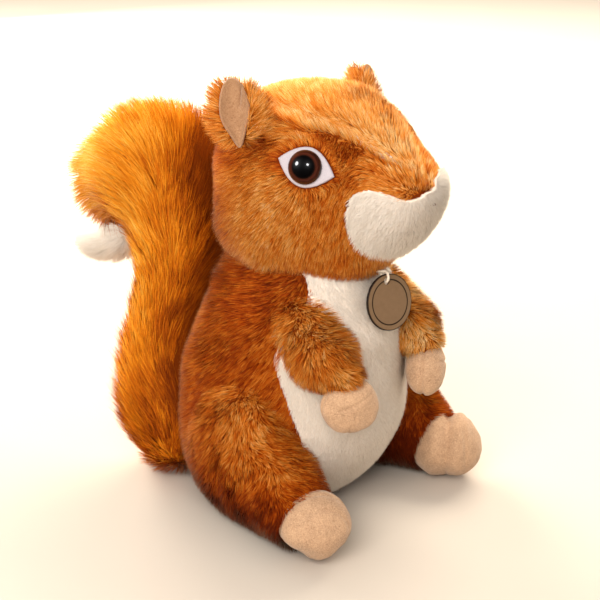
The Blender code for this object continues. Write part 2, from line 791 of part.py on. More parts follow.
for side, sign in (("right", -1), ("left", 1)):

    def place(points):
        return points if sign < 0 else mirrored(np.asarray(points, float))

    def placed(v):
        return np.array(v, float) * (1, 1, 1) if sign < 0 else np.array(v, float) * (-1, 1, 1)

    # ear: a plush leaf with a dished front that holds the lining
    shift = np.array(LEFT_EAR_SHIFT) if sign > 0 else np.zeros(3)
    base, tip = np.array(EAR_BASE) + shift, np.array(EAR_TIP) + shift
    (points, faces), (up, face, across, length) = leaf(
        base, tip, EAR_FACING if sign < 0 else LEFT_EAR_FACING, EAR_HALF_WIDTH, EAR_HALF_THICK
    )
    ear = mesh_object(f"{side}_ear", place(points), faces, ORANGE)
    dish = base + up * length * 0.52 + face * (EAR_HALF_THICK + 0.0010)

    def dish_solid(name, grow, cutter, look=None):
        rings = []
        for k in range(1, 7):
            a = math.pi * k / 7
            rings.append(
                [
                    dish
                    + up * (0.0150 + grow) * math.cos(a)
                    + across * (0.0090 + grow) * math.sin(a) * math.cos(2 * math.pi * j / 14)
                    + face * (0.0055 + grow) * math.sin(a) * math.sin(2 * math.pi * j / 14)
                    for j in range(14)
                ]
            )
        found, sides = skin_rings(
            rings, dish + up * (0.0150 + grow), dish - up * (0.0150 + grow)
        )
        return mesh_object(name, place(found), sides, look, cutter)

    outer = dish_solid(f"cut_{side}_ear_dish", 0.0, True)
    inner = dish_solid(f"cut_{side}_ear_dish_inner", -GAP - EAR_LINING, True)
    whole = mesh_object(f"cut_{side}_ear_whole", place(points), faces, None, True)
    cut(ear, outer, head_room)
    lining = dish_solid(f"{side}_ear_lining", -GAP, False, LINING)
    cut(lining, inner, head_room)
    cut(lining, whole, how="INTERSECT")

    # eye: dome and shank in one, a felt almond behind it, a washer inside the cover
    spot, normal = placed(EYE_CENTRE), placed(unit(EYE_NORMAL))
    back = FELT + GAP - EYE_SINK
    eye = cylinder(
        f"{side}_eye",
        spot,
        normal,
        0,
        0,
        EYE_BROWN,
        steps=(
            (-SHANK_LENGTH, 0),
            (-SHANK_LENGTH, SHANK_R * 0.8),
            (-SHANK_LENGTH + 0.001, SHANK_R),
            (back, SHANK_R),
            (back, EYE_R * 0.93),
            (back + 0.0007, EYE_R),
            (back + 0.0022, EYE_R * 0.97),
            (back + 0.0040, EYE_R * 0.80),
            (back + 0.0054, EYE_R * 0.52),
            (back + EYE_DOME, 0),
        ),
    )
    hole = cylinder(
        f"cut_{side}_shank", spot, normal, SHANK_R + GAP, 0.040, None, True, 16
    )
    cut(head_skin, hole)
    washer = cylinder(
        f"{side}_eye_washer",
        spot - normal * (PLUSH + GAP + WASHER_THICK / 2 + 0.0016),
        normal,
        WASHER_R,
        WASHER_THICK,
        WASHER,
    )
    cut(washer, hole)
    pocket = cylinder(
        f"cut_{side}_washer",
        spot - normal * (PLUSH + 0.0040),
        normal,
        WASHER_R + 0.0006,
        0.0120,
        None,
        True,
        16,
    )
    cut(head_filling, pocket)
    tilt = math.radians(EYE_PATCH_TILT) * (1 if sign < 0 else -1)
    level = unit(np.cross(normal, [0, 0, 1.0]))
    rise = np.cross(level, normal)
    outline = []
    for j in range(24):
        a = 2 * math.pi * j / 24
        u = EYE_PATCH_HALF[0] * math.cos(a)
        v = math.copysign(EYE_PATCH_HALF[1] * (1 - abs(math.cos(a)) ** 1.9), math.sin(a))
        outline.append(
            (u * math.cos(tilt) - v * math.sin(tilt), u * math.sin(tilt) + v * math.cos(tilt))
        )

    def almond(name, grow):
        shape = grown_outline(np.array(outline), grow)
        points = [
            spot + normal * d + level * u + rise * v
            for d in (-0.012, 0.012)
            for u, v in shape
        ]
        faces = [tuple(range(24)), tuple(range(24, 48))]
        faces += [(j, (j + 1) % 24, 24 + (j + 1) % 24, 24 + j) for j in range(24)]
        return mesh_object(name, points, faces, None, True)

    socket = almond(f"cut_{side}_socket", GAP)
    cut(socket, backing)
    cut(head_skin, socket)
    patch = mesh_object(
        f"{side}_eye_patch", *head_surface(*head_fine, FELT - EYE_SINK), FELT_WHITE
    )
    cut(patch, almond(f"cut_{side}_almond", 0.0), how="INTERSECT")
    cut(patch, patch_back, hole)

neck_plug = cylinder(
    "cut_neck_plug", (0, NECK_Y, 0.150), (0, 0, 1), NECK_HOLE_R - 2 * GAP, 0.030, None, True, 24
)
cut(head_filling, neck_plug, how="UNION")

# ---------------------------------------------------------------- tag
# The tag swings on its loop, about the line through the sewn end along tag_across.
lean, swing_turn = math.radians(TAG_LEAN), math.radians(TAG_TURN)
tag_across = np.array([math.cos(swing_turn), -math.sin(swing_turn), 0.0])
tag_normal = np.array(
    [
        -math.sin(swing_turn) * math.cos(lean),
        -math.cos(swing_turn) * math.cos(lean),
        math.sin(lean),
    ]
)
tag_up = np.array(
    [
        math.sin(swing_turn) * math.sin(lean),
        math.cos(swing_turn) * math.sin(lean),
        math.cos(lean),
    ]
)
tag = cylinder(
    "tag_disc",
    TAG_CENTRE,
    tag_normal,
    0,
    0,
    TAG_BOARD,
    around=32,
    steps=(
        (-TAG_THICK / 2, TAG_R - 0.0003),
        (-TAG_THICK / 2 + 0.0003, TAG_R),
        (TAG_THICK / 2 - 0.0003, TAG_R),
        (TAG_THICK / 2, TAG_R - 0.0003),
    ),
)
hole_at = np.array(TAG_CENTRE) + tag_up * TAG_HOLE_UP
tag_hole = cylinder("cut_tag_hole", hole_at, tag_normal, TAG_HOLE_R, 0.01, None, True, 20)
cut(tag, tag_hole)

sewn = np.array(LOOP_TOP)
clear = TAG_THICK / 2 + LOOP_R + GAP
corners = (
    hole_at - tag_up * 0.0002,
    hole_at + tag_normal * (clear + 0.0002) + tag_up * 0.0012,
    hole_at + tag_normal * (clear + 0.0003) + tag_up * 0.0040,
    hole_at + tag_normal * 0.0004 + tag_up * 0.0053,
    sewn,
    hole_at - tag_normal * (clear + 0.0012) + tag_up * 0.0036,
    hole_at - tag_normal * (clear + 0.0002) + tag_up * 0.0012,
)
route = []
for i in range(len(corners)):
    p0, p1, p2, p3 = (corners[(i + k) % len(corners)] for k in (-1, 0, 1, 2))
    for t in np.arange(4) / 4:
        route.append(
            0.5
            * (
                2 * p1
                + (p2 - p0) * t
                + (2 * p0 - 5 * p1 + 4 * p2 - p3) * t**2
                + (3 * p1 - p0 - 3 * p2 + p3) * t**3
            )
        )
curve = bpy.data.curves.new("tag_loop", "CURVE")
curve.dimensions = "3D"
curve.bevel_depth = LOOP_R
curve.bevel_resolution = 2
spline = curve.splines.new("POLY")
spline.points.add(len(route) - 1)
for point, at in zip(spline.points, route):
    point.co = (*at, 1)
spline.use_cyclic_u = True
loop = bpy.data.objects.new("tag_loop", curve)
bpy.context.scene.collection.objects.link(loop)
curve.materials.append(material(*LOOP_CORD))

# the loop's end turns in a small hollow of the pile at the neck seam
pocket = cylinder("cut_loop_pocket", sewn, tag_across, LOOP_POCKET_R, 0.0060, None, True, 16)
cut(head_skin, pocket)
cut(body_skin, pocket)
cut(belly, pocket)
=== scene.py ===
import math

import bmesh
import bpy
import numpy as np
from mathutils import Matrix, Vector
from mathutils.bvhtree import BVHTree
from mathutils.kdtree import KDTree


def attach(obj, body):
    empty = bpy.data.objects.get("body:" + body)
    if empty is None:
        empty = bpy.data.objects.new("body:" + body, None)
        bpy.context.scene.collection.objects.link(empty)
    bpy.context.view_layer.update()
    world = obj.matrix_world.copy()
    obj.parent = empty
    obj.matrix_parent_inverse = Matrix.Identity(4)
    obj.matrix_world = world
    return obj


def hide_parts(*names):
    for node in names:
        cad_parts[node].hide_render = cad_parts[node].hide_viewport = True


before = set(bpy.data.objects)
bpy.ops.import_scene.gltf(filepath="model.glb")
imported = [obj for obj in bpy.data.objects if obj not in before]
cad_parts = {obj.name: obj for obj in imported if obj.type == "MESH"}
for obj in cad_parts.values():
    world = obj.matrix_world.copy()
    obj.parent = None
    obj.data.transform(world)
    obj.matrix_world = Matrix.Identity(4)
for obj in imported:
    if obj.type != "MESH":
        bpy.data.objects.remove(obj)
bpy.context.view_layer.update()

scene = bpy.context.scene
scene.view_settings.view_transform = "Standard"

# ------------------------------------------------------------------ camera
YAW, PITCH, RUN, HIGH = math.radians(-48.0), math.radians(21.3), 0.789, 0.42
flat = np.array([-math.sin(YAW), math.cos(YAW), 0.0])
cam_right = np.array([flat[1], -flat[0], 0.0])
cam_at = -RUN * flat + np.array([0, 0, HIGH])
cam_fwd = flat * math.cos(PITCH) - np.array([0, 0, math.sin(PITCH)])
cam_up = np.cross(cam_right, cam_fwd)
cam_data = bpy.data.cameras.new("camera")
cam_data.lens = 1539.0 / 600.0 * 36.0
cam_data.sensor_width = 36.0
cam_data.clip_start = 0.02
camera = bpy.data.objects.new("camera", cam_data)
scene.collection.objects.link(camera)
camera.matrix_world = Matrix(
    [
        [cam_right[i], cam_up[i], -cam_fwd[i], cam_at[i]] for i in range(3)
    ]
    + [[0, 0, 0, 1]]
)
scene.camera = camera


# ------------------------------------------------------------------ small maths
def unit(v):
    v = np.asarray(v, float)
    return v / (np.linalg.norm(v, axis=-1, keepdims=True) + 1e-12)


def dot(a, b):
    return (np.asarray(a) * np.asarray(b)).sum(-1)


def smooth(lo, hi, x):
    t = np.clip((np.asarray(x, float) - lo) / (hi - lo), 0, 1)
    return t * t * (3 - 2 * t)


def noise(P, scale, seed=0):
    """Smooth value noise from -1 to 1."""
    q = np.asarray(P, float) / scale + np.array([seed * 13.7, seed * 7.3, seed * 3.1])
    i = np.floor(q).astype(np.int64)
    f = q - i
    f = f * f * (3 - 2 * f)

    def lattice(a, b, c):
        n = (a * 73856093) ^ (b * 19349663) ^ (c * 83492791) ^ (seed * 374761393)
        n = (n ^ (n >> 13)) * 1274126177
        n = n ^ (n >> 16)
        return (n & 0xFFFF) / 32767.5 - 1

    out = 0
    for dx in (0, 1):
        for dy in (0, 1):
            for dz in (0, 1):
                w = (
                    (f[..., 0] if dx else 1 - f[..., 0])
                    * (f[..., 1] if dy else 1 - f[..., 1])
                    * (f[..., 2] if dz else 1 - f[..., 2])
                )
                out = out + w * lattice(i[..., 0] + dx, i[..., 1] + dy, i[..., 2] + dz)
    return out


def pchip(xs, ys):
    """A smooth curve through the stations that never overshoots them."""
    order = np.argsort(xs)
    x, y = np.asarray(xs, float)[order], np.asarray(ys, float)[order]
    h, d = np.diff(x), np.diff(y) / np.diff(x)
    m = np.zeros(len(x))
    m[0], m[-1] = d[0], d[-1]
    for i in range(1, len(x) - 1):
        if d[i - 1] * d[i] > 0:
            w1, w2 = 2 * h[i] + h[i - 1], h[i] + 2 * h[i - 1]
            m[i] = (w1 + w2) / (w1 / d[i - 1] + w2 / d[i])

    def at(v):
        v = np.clip(np.asarray(v, float), x[0], x[-1])
        i = np.clip(np.searchsorted(x, v) - 1, 0, len(x) - 2)
        t = (v - x[i]) / h[i]
        return (
            (2 * t**3 - 3 * t**2 + 1) * y[i]
            + (t**3 - 2 * t**2 + t) * h[i] * m[i]
            + (3 * t**2 - 2 * t**3) * y[i + 1]
            + (t**3 - t**2) * h[i] * m[i + 1]
        )

    return at


def rotate(v, axis, angle):
    c, s = np.cos(angle)[..., None], np.sin(angle)[..., None]
    return v * c + np.cross(axis, v) * s + axis * dot(axis, v)[..., None] * (1 - c)


def tangent(v, n):
    v = np.asarray(v, float) * np.ones_like(n)
    return unit(v - n * dot(v, n)[..., None])


def linear(r, g, b):
    out = []
    for c in (r, g, b):
        c = c / 255.0
        out.append(c / 12.92 if c <= 0.04045 else ((c + 0.055) / 1.055) ** 2.4)
    return tuple(out)


MIRROR = np.array([-1.0, 1.0, 1.0])

# ------------------------------------------------------------------ forms
HEAD_BACK, HEAD_FRONT = 0.0500, -0.0905
HEAD_MID_Z = (0.186, 0.190)
HEAD_STATIONS = (
    (0.040, 0.0255, 0.2105, 0.1490),
    (0.022, 0.0410, 0.2285, 0.1335),
    (0.000, 0.0490, 0.2365, 0.1285),
    (-0.020, 0.0500, 0.2390, 0.1285),
    (-0.038, 0.0455, 0.2365, 0.1335),
    (-0.052, 0.0382, 0.2300, 0.1405),
    (-0.064, 0.0312, 0.2210, 0.1510),
    (-0.076, 0.0255, 0.2110, 0.1605),
    (-0.083, 0.0205, 0.2045, 0.1690),
    (-0.088, 0.0130, 0.1985, 0.1790),
)
JAW_FULL = 0.27
BODY_TOP = 0.163
BODY_STATIONS = (
    (0.000, 0.0385, 0.0320, 0.0125),
    (0.002, 0.0430, 0.0365, 0.0125),
    (0.008, 0.0505, 0.0440, 0.0120),
    (0.024, 0.0600, 0.0550, 0.0090),
    (0.048, 0.0640, 0.0615, 0.0045),
    (0.070, 0.0625, 0.0618, 0.0030),
    (0.090, 0.0595, 0.0596, 0.0006),
    (0.108, 0.0552, 0.0567, -0.0028),
    (0.125, 0.0475, 0.0493, -0.0050),
    (0.140, 0.0372, 0.0415, -0.0070),
    (0.152, 0.0268, 0.0310, -0.0090),
)
LEG_BACK, LEG_FRONT = 0.0360, -0.0700
LEG_STATIONS = (
    (0.026, -0.0455, 0.0400, 0.0175, 0.0280),
    (0.010, -0.0490, 0.0430, 0.0235, 0.0400),
    (-0.010, -0.0510, 0.0430, 0.0250, 0.0430),
    (-0.028, -0.0525, 0.0370, 0.0240, 0.0370),
    (-0.044, -0.0545, 0.0270, 0.0210, 0.0265),
    (-0.058, -0.0560, 0.0205, 0.0165, 0.0185),
)
FOOT_CENTRE = np.array((-0.0572, -0.0618, 0.0186))
FOOT_RADII = (0.0193, 0.0180, 0.0190)
FOOT_TURN = 32.0
LEFT_LEG_SHIFT, LEFT_LEG_FROM, LEFT_LEG_TO = np.array((0.0070, 0.0062, 0.0)), -0.010, -0.050
ARM_SPINE = (
    (-0.0225, -0.0080, 0.1180, 0.0150),
    (-0.0275, -0.0250, 0.1170, 0.0192),
    (-0.0325, -0.0410, 0.1052, 0.0199),
    (-0.0335, -0.0535, 0.0982, 0.0180),
    (-0.0330, -0.0600, 0.0940, 0.0140),
)
HAND_CENTRE = np.array((-0.0325, -0.0635, 0.0800))
HAND_RADII = (0.0155, 0.0112, 0.0152)
HAND_TURN = 28.0
TAIL_SPINE = (
    (-0.0300, 0.0655, 0.0120, 0.0290),
    (-0.0315, 0.0675, 0.0250, 0.0330),
    (-0.0325, 0.0725, 0.0440, 0.0315),
    (-0.0260, 0.0800, 0.0700, 0.0290),
    (-0.0160, 0.0835, 0.0960, 0.0270),
    (-0.0080, 0.0860, 0.1220, 0.0305),
    (-0.0020, 0.0945, 0.1460, 0.0355),
    (0.0000, 0.1090, 0.1650, 0.0385),
)
TAIL_CURL, TAIL_CURL_RADII = (0.0, 0.1370, 0.1560), (0.0290, 0.0290, 0.0310)
EAR_BASE, EAR_TIP = np.array((-0.0425, -0.0040, 0.2100)), np.array((-0.0490, 0.0060, 0.2450))
EAR_HALF_WIDTH, EAR_HALF_THICK = 0.0155, 0.0055
EAR_FACING = (-0.80, -0.58, 0.10)
LEFT_EAR_SHIFT = np.array((0.0, -0.0040, -0.0090))
LEFT_EAR_FACING = (-0.95, -0.25, 0.10)
EYE_CENTRE = np.array((-0.0416, -0.0401, 0.2053))
EYE_NORMAL = unit((-0.84, -0.45, 0.31))
EYE_R = 0.0086
EYE_PATCH_HALF, EYE_PATCH_TILT = (0.0154, 0.0102), 14.0
TAG_R, TAG_THICK = 0.0150, 0.0016
TAG_CENTRE = np.array((0.0, -0.0625, 0.1275))
TAG_LEAN, TAG_TURN, TAG_HOLE_R, TAG_HOLE_UP = 14.0, 10.0, 0.0020, 0.0112
LOOP_TOP = np.array((-0.0015, -0.0555, 0.1432))


def normals_of(P, F):
    n = np.zeros_like(P)
    a, b, c = P[F[:, 0]], P[F[:, 1]], P[F[:, 2]]
    face = np.cross(b - a, c - a)
    for k in range(3):
        np.add.at(n, F[:, k], face)
    return unit(n)


def loft(rings):
    """rings (n, around, 3), the first and last nearly points: vertices, quads, normals."""
    n, around = rings.shape[:2]
    P = rings.reshape(-1, 3)
    k, j = np.meshgrid(np.arange(n - 1), np.arange(around), indexing="ij")
    a = k * around + j
    b = k * around + (j + 1) % around
    Q = np.stack([a, b, b + around, a + around], -1).reshape(-1, 4)
    # both caps
    caps = []
    for row in (0, n - 1):
        caps.append(np.arange(around) + row * around)
    T = np.vstack([Q[:, [0, 1, 2]], Q[:, [0, 2, 3]]])
    N = normals_of(P, T)
    centre = P.mean(0)
    if dot(P - centre, N).sum() < 0:
        N = -N
        Q = Q[:, ::-1]
        T = T[:, ::-1]
    return P, Q, T, N, caps


class Skin:
    """A closed surface: vertices P, quads Q, triangles T and vertex normals N."""

    def __init__(self, rings):
        self.P, self.Q, self.T, self.N, self.caps = loft(rings)
        self.around = rings.shape[1]

    def grown(self, by):
        new = object.__new__(Skin)
        new.__dict__.update(self.__dict__)
        by = np.asarray(by, float)
        new.P = self.P + self.N * (by[:, None] if by.ndim else by)
        new.N = self.N
        return new

    def tree(self):
        return BVHTree.FromPolygons([Vector(p) for p in self.P], [tuple(map(int, t)) for t in self.T])

    def sample(self, per_mm2, seed=0):
        r = np.random.default_rng(seed)
        a, b, c = (self.P[self.T[:, k]] for k in range(3))
        area = np.linalg.norm(np.cross(b - a, c - a), axis=1) / 2 * 1e6
        count = int(area.sum() * per_mm2)
        pick = r.choice(len(area), count, p=area / area.sum())
        u, v = r.random(count), r.random(count)
        flip = u + v > 1
        u[flip], v[flip] = 1 - u[flip], 1 - v[flip]
        w = 1 - u - v
        T = self.T[pick]
        P = self.P[T[:, 0]] * w[:, None] + self.P[T[:, 1]] * u[:, None] + self.P[T[:, 2]] * v[:, None]
        N = unit(
            self.N[T[:, 0]] * w[:, None] + self.N[T[:, 1]] * u[:, None] + self.N[T[:, 2]] * v[:, None]
        )
        return P, N


def head_rings(along, around):
    half, mid = (HEAD_BACK - HEAD_FRONT) / 2, (HEAD_BACK + HEAD_FRONT) / 2
    st = np.array(HEAD_STATIONS)

    def end(y):
        return np.sqrt(np.maximum(1 - ((y - mid) / half) ** 2, 0))

    def centre(y):
        return HEAD_MID_Z[0] + (HEAD_MID_Z[1] - HEAD_MID_Z[0]) * (HEAD_BACK - y) / (2 * half)

    e = end(st[:, 0])
    wide = pchip(st[:, 0], st[:, 1] / e)
    up = pchip(st[:, 0], (st[:, 2] - centre(st[:, 0])) / e)
    down = pchip(st[:, 0], (centre(st[:, 0]) - st[:, 3]) / e)
    k = np.linspace(0, math.pi, along + 1)
    k[0], k[-1] = 0.004, math.pi - 0.004
    y = (mid + half * np.cos(k))[:, None]
    a = (2 * math.pi * np.arange(around) / around)[None, :]
    s, t = np.sin(a), np.cos(a)
    q = 1 - JAW_FULL * smooth(-0.030, 0.005, y) * smooth(0.25, -0.25, t)
    # the upper and lower halves are blended over a short band
    mix = smooth(-0.12, 0.12, t)
    high = up(y) * mix + down(y) * (1 - mix)
    return np.stack(
        [
            wide(y) * end(y) * np.sign(s) * np.abs(s) ** q,
            y + 0 * a,
            centre(y) + high * end(y) * np.sign(t) * np.abs(t) ** q,
        ],
        -1,
    )


def body_rings(along, around):
    st = np.array(BODY_STATIONS)
    e = np.sqrt(1 - st[:, 0] / BODY_TOP)
    wide, deep = pchip(st[:, 0], st[:, 1] / e), pchip(st[:, 0], st[:, 2] / e)
    shift = pchip(st[:, 0], st[:, 3])
    z = np.concatenate(
        [
            [0.0, 0.0, 0.0, 0.001, 0.0022, 0.0038],
            0.0055 + (BODY_TOP - 0.0055) * np.sin(math.pi / 2 * np.arange(0, along + 1) / along),
        ]
    )
    z[-1] = BODY_TOP - 1e-6
    small = np.ones_like(z)
    small[:2] = 0.01, 0.6
    z, small = z[:, None], small[:, None]
    a = (2 * math.pi * np.arange(around) / around)[None, :]
    q = np.sqrt(np.maximum(1 - z / BODY_TOP, 0))
    return np.stack(
        [
            wide(z) * q * small * np.sin(a),
            shift(z) + deep(z) * q * small * np.cos(a),
            z + 0 * a,
        ],
        -1,
    )


def leg_rings(along, around):
    half, mid = (LEG_BACK - LEG_FRONT) / 2, (LEG_BACK + LEG_FRONT) / 2
    st = np.array(LEG_STATIONS)
    e = np.sqrt(1 - ((st[:, 0] - mid) / half) ** 2)
    cx, cz = pchip(st[:, 0], st[:, 1]), pchip(st[:, 0], st[:, 2])
    wide, high = pchip(st[:, 0], st[:, 3] / e), pchip(st[:, 0], st[:, 4] / e)
    k = np.linspace(0, math.pi, along + 1)
    k[0], k[-1] = 0.004, math.pi - 0.004
    y = (mid + half * np.cos(k))[:, None]
    q = np.sqrt(np.maximum(1 - ((y - mid) / half) ** 2, 0))
    a = (2 * math.pi * np.arange(around) / around)[None, :]
    return np.stack(
        [cx(y) + wide(y) * q * np.sin(a), y + 0 * a, cz(y) + high(y) * q * np.cos(a)], -1
    )


def spine_curve(knots, count):
    knots = np.array(knots, float)
    padded = np.vstack([2 * knots[0] - knots[1], knots, 2 * knots[-1] - knots[-2]])
    dense = []
    for i in range(len(knots) - 1):
        p0, p1, p2, p3 = padded[i : i + 4]
        for t in np.linspace(0, 1, 24, endpoint=i == len(knots) - 2):
            dense.append(
                0.5
                * (
                    2 * p1
                    + (p2 - p0) * t
                    + (2 * p0 - 5 * p1 + 4 * p2 - p3) * t**2
                    + (3 * p1 - p0 - 3 * p2 + p3) * t**3
                )
            )
    dense = np.array(dense)
    run = np.concatenate(
        [[0], np.cumsum(np.linalg.norm(np.diff(dense[:, :3], axis=0), axis=1))]
    )
    at = np.linspace(0, run[-1], count)
    return np.stack([np.interp(at, run, dense[:, k]) for k in range(4)], 1)


def tube_rings(knots, along, around, start_dome=0.6, end_dome=0.98):
    line = spine_curve(knots, along + 1)
    tan = unit(np.gradient(line[:, :3], axis=0))
    side = unit(np.cross(tan[0], [1.0, 0.0, 0.0]))
    a = 2 * math.pi * np.arange(around) / around
    rings, frames = [], []
    for row, t in zip(line, tan):
        side = unit(side - t * dot(side, t))
        frames.append((row[:3], t, side, np.cross(t, side), row[3]))

    def ring(centre, side_v, other_v, r):
        return centre + r * np.cos(a)[:, None] * side_v + r * np.sin(a)[:, None] * other_v

    c, t, s, o, r = frames[0]
    for q in (0.03, 0.35, 0.65, 0.87):
        rings.append(ring(c - t * r * start_dome * math.sqrt(1 - q * q), s, o, r * q))
    for c, t, s, o, r in frames:
        rings.append(ring(c, s, o, r))
    c, t, s, o, r = frames[-1]
    for u in (0.25, 0.5, 0.72, 0.88, 0.97, 0.9996):
        rings.append(ring(c + t * r * end_dome * u, s, o, r * math.sqrt(1 - u * u)))
    return np.array(rings)


def ball_rings(centre, radii, turn, along, around, grow=0.0):
    """Poles along local y."""
    rx, ry, rz = (r + grow for r in radii)
    k = np.linspace(0, math.pi, along + 1)
    k[0], k[-1] = 0.006, math.pi - 0.006
    a = 2 * math.pi * np.arange(around) / around
    P = np.stack(
        [
            rx * np.sin(k)[:, None] * np.sin(a)[None, :],
            ry * np.cos(k)[:, None] + 0 * a[None, :],
            rz * np.sin(k)[:, None] * np.cos(a)[None, :],
        ],
        -1,
    )
    spin = np.array(Matrix.Rotation(math.radians(turn), 3, "Z"))
    return P @ spin.T + np.array(centre)


def mirrored(rings):
    return (rings * MIRROR)[:, ::-1]


def smooth_outline(corners, per_side):
    corners = np.array(corners, float)
    n, found = len(corners), []
    for i in range(n):
        p0, p1, p2, p3 = (corners[(i + k) % n] for k in (-1, 0, 1, 2))
        for t in np.arange(per_side) / per_side:
            found.append(
                0.5
                * (
                    2 * p1
                    + (p2 - p0) * t
                    + (2 * p0 - 5 * p1 + 4 * p2 - p3) * t**2
                    + (3 * p1 - p0 - 3 * p2 + p3) * t**3
                )
            )
    return np.array(found)


def from_outline(points, outline):
    """Distance to a closed outline, positive inside."""
    p = np.asarray(points, float)[:, None, :]
    a, b = outline[None, :, :], np.roll(outline, -1, 0)[None, :, :]
    ab = b - a
    t = np.clip(((p - a) * ab).sum(-1) / ((ab**2).sum(-1) + 1e-18), 0, 1)
    near = np.sqrt((((a + ab * t[..., None]) - p) ** 2).sum(-1)).min(1)
    crosses = ((a[..., 1] > p[..., 1]) != (b[..., 1] > p[..., 1])) & (
        p[..., 0] < (b[..., 0] - a[..., 0]) * (p[..., 1] - a[..., 1]) / (b[..., 1] - a[..., 1] + 1e-18) + a[..., 0]
    )
    return np.where(crosses.sum(1) % 2 == 1, near, -near)


def from_outline_in_parts(points, outline):
    out = [from_outline(points[i : i + 20000], outline) for i in range(0, len(points), 20000)]
    return np.concatenate(out) if out else np.zeros(0)


MUZZLE_OUTLINE = smooth_outline(
    (
        (-0.1100, 0.1970),
        (-0.0905, 0.1945),
        (-0.0880, 0.1915),
        (-0.0850, 0.1910),
        (-0.0800, 0.1935),
        (-0.0740, 0.1953),
        (-0.0680, 0.1955),
        (-0.0638, 0.1938),
        (-0.0610, 0.1895),
        (-0.0600, 0.1830),
        (-0.0597, 0.1750),
        (-0.0602, 0.1670),
        (-0.0635, 0.1600),
        (-0.0690, 0.1550),
        (-0.0780, 0.1480),
        (-0.0950, 0.1400),
        (-0.1150, 0.1400),
    ),
    4,
)
PANEL_HALF = (
    (0.0250, 0.1600),
    (0.0285, 0.1400),
    (0.0375, 0.1230),
    (0.0480, 0.1080),
    (0.0500, 0.0950),
    (0.0465, 0.0720),
    (0.0410, 0.0480),
    (0.0340, 0.0260),
    (0.0220, 0.0090),
    (0.0080, 0.0060),
)
PANEL_OUTLINE = smooth_outline(PANEL_HALF + tuple((-x, z) for x, z in reversed(PANEL_HALF)), 4)


def in_muzzle(P):
    """Distance inside the muzzle patch, in metres, negative outside. Its corner on the
    left side of the snout is sewn a little higher."""
    higher = 0.0075 * smooth(0.0005, 0.0060, P[:, 0]) * smooth(-0.0740, -0.0830, P[:, 1])
    return from_outline_in_parts(np.stack([P[:, 1], P[:, 2] - higher], 1), MUZZLE_OUTLINE)


def in_panel(P):
    d = from_outline_in_parts(P[:, [0, 2]], PANEL_OUTLINE)
    return np.where(P[:, 1] < -0.012, d, -0.02)


# the head gusset's seam, as half width against y
SEAM_AT = pchip(
    [-0.0900, -0.0840, -0.0798, -0.0749, -0.0700, -0.0569, -0.0474, -0.0373, -0.0300, -0.0200, -0.0083, 0.0, 0.0104, 0.022, 0.045],
    [0.0000, 0.0010, 0.0048, 0.0096, 0.0130, 0.0190, 0.0231, 0.0280, 0.0307, 0.0302, 0.0284, 0.0265, 0.0235, 0.0200, 0.0120],
)


def above_seam(P, N):
    """Distance above the gusset's seam along the surface, negative below it."""
    d = (SEAM_AT(P[:, 1]) - np.abs(P[:, 0])) / np.maximum(np.abs(N[:, 2]), 0.35)
    return np.where(P[:, 2] > 0.190, d, -0.03)


def eye_frame(sign):
    spot = EYE_CENTRE.copy()
    normal = EYE_NORMAL.copy()
    if sign > 0:
        spot, normal = spot * MIRROR, normal * MIRROR
    level = unit(np.cross(normal, [0, 0, 1.0]))
    rise = np.cross(level, normal)
    tilt = math.radians(EYE_PATCH_TILT) * (1 if sign < 0 else -1)
    return spot, normal, level, rise, tilt


def in_almond(P, sign):
    """How far a point is out from the felt almond's edge: 1 on the edge, less inside."""
    spot, normal, level, rise, tilt = eye_frame(sign)
    d = P - spot
    a, b = dot(d, level), dot(d, rise)
    u = a * math.cos(tilt) + b * math.sin(tilt)
    v = -a * math.sin(tilt) + b * math.cos(tilt)
    near = np.linalg.norm(d, axis=1) < 0.03
    un, vn = np.abs(u / EYE_PATCH_HALF[0]), np.abs(v / EYE_PATCH_HALF[1])
    return np.where(near, un**1.9 + vn, 9.0)


# ------------------------------------------------------------------ mesh makers
def put(name, P, faces, smooth_shade=True):
    mesh = bpy.data.meshes.new(name)
    mesh.from_pydata([tuple(p) for p in P], [], [tuple(map(int, f)) for f in faces])
    mesh.validate()
    obj = bpy.data.objects.new(name, mesh)
    scene.collection.objects.link(obj)
    if smooth_shade:
        mesh.shade_smooth()
    return obj


def skin_object(name, skin, material, floor=None, keep=None, thick=None):
    """A skin as a closed piece, or the part of it where keep says so, as a sheet with
    thickness."""
    P = skin.P.copy()
    if floor is not None:
        P[:, 2] = np.maximum(P[:, 2], floor)
    faces = [tuple(q) for q in skin.Q]
    if keep is not None:
        for c in skin.caps:
            P[c] = P[c].mean(0)
    if keep is None:
        faces += [tuple(c) for c in skin.caps]
    else:
        middle = P[skin.Q].mean(1)
        chosen = keep(middle)
        faces = [f for f, k in zip(faces, chosen) if k]
    obj = put(name, P, faces)
    work = bmesh.new()
    work.from_mesh(obj.data)
    loose = [v for v in work.verts if not v.link_faces]
    bmesh.ops.delete(work, geom=loose, context="VERTS")
    if keep is not None:
        bmesh.ops.remove_doubles(work, verts=work.verts, dist=1e-6)
    bmesh.ops.recalc_face_normals(work, faces=work.faces)
    work.to_mesh(obj.data)
    work.free()
    if thick:
        mod = obj.modifiers.new("thick", "SOLIDIFY")
        mod.thickness = thick
        mod.offset = -1
    obj.data.materials.append(material)
    return obj


def flatten(v):
    return np.ascontiguousarray(v, np.float32).ravel()


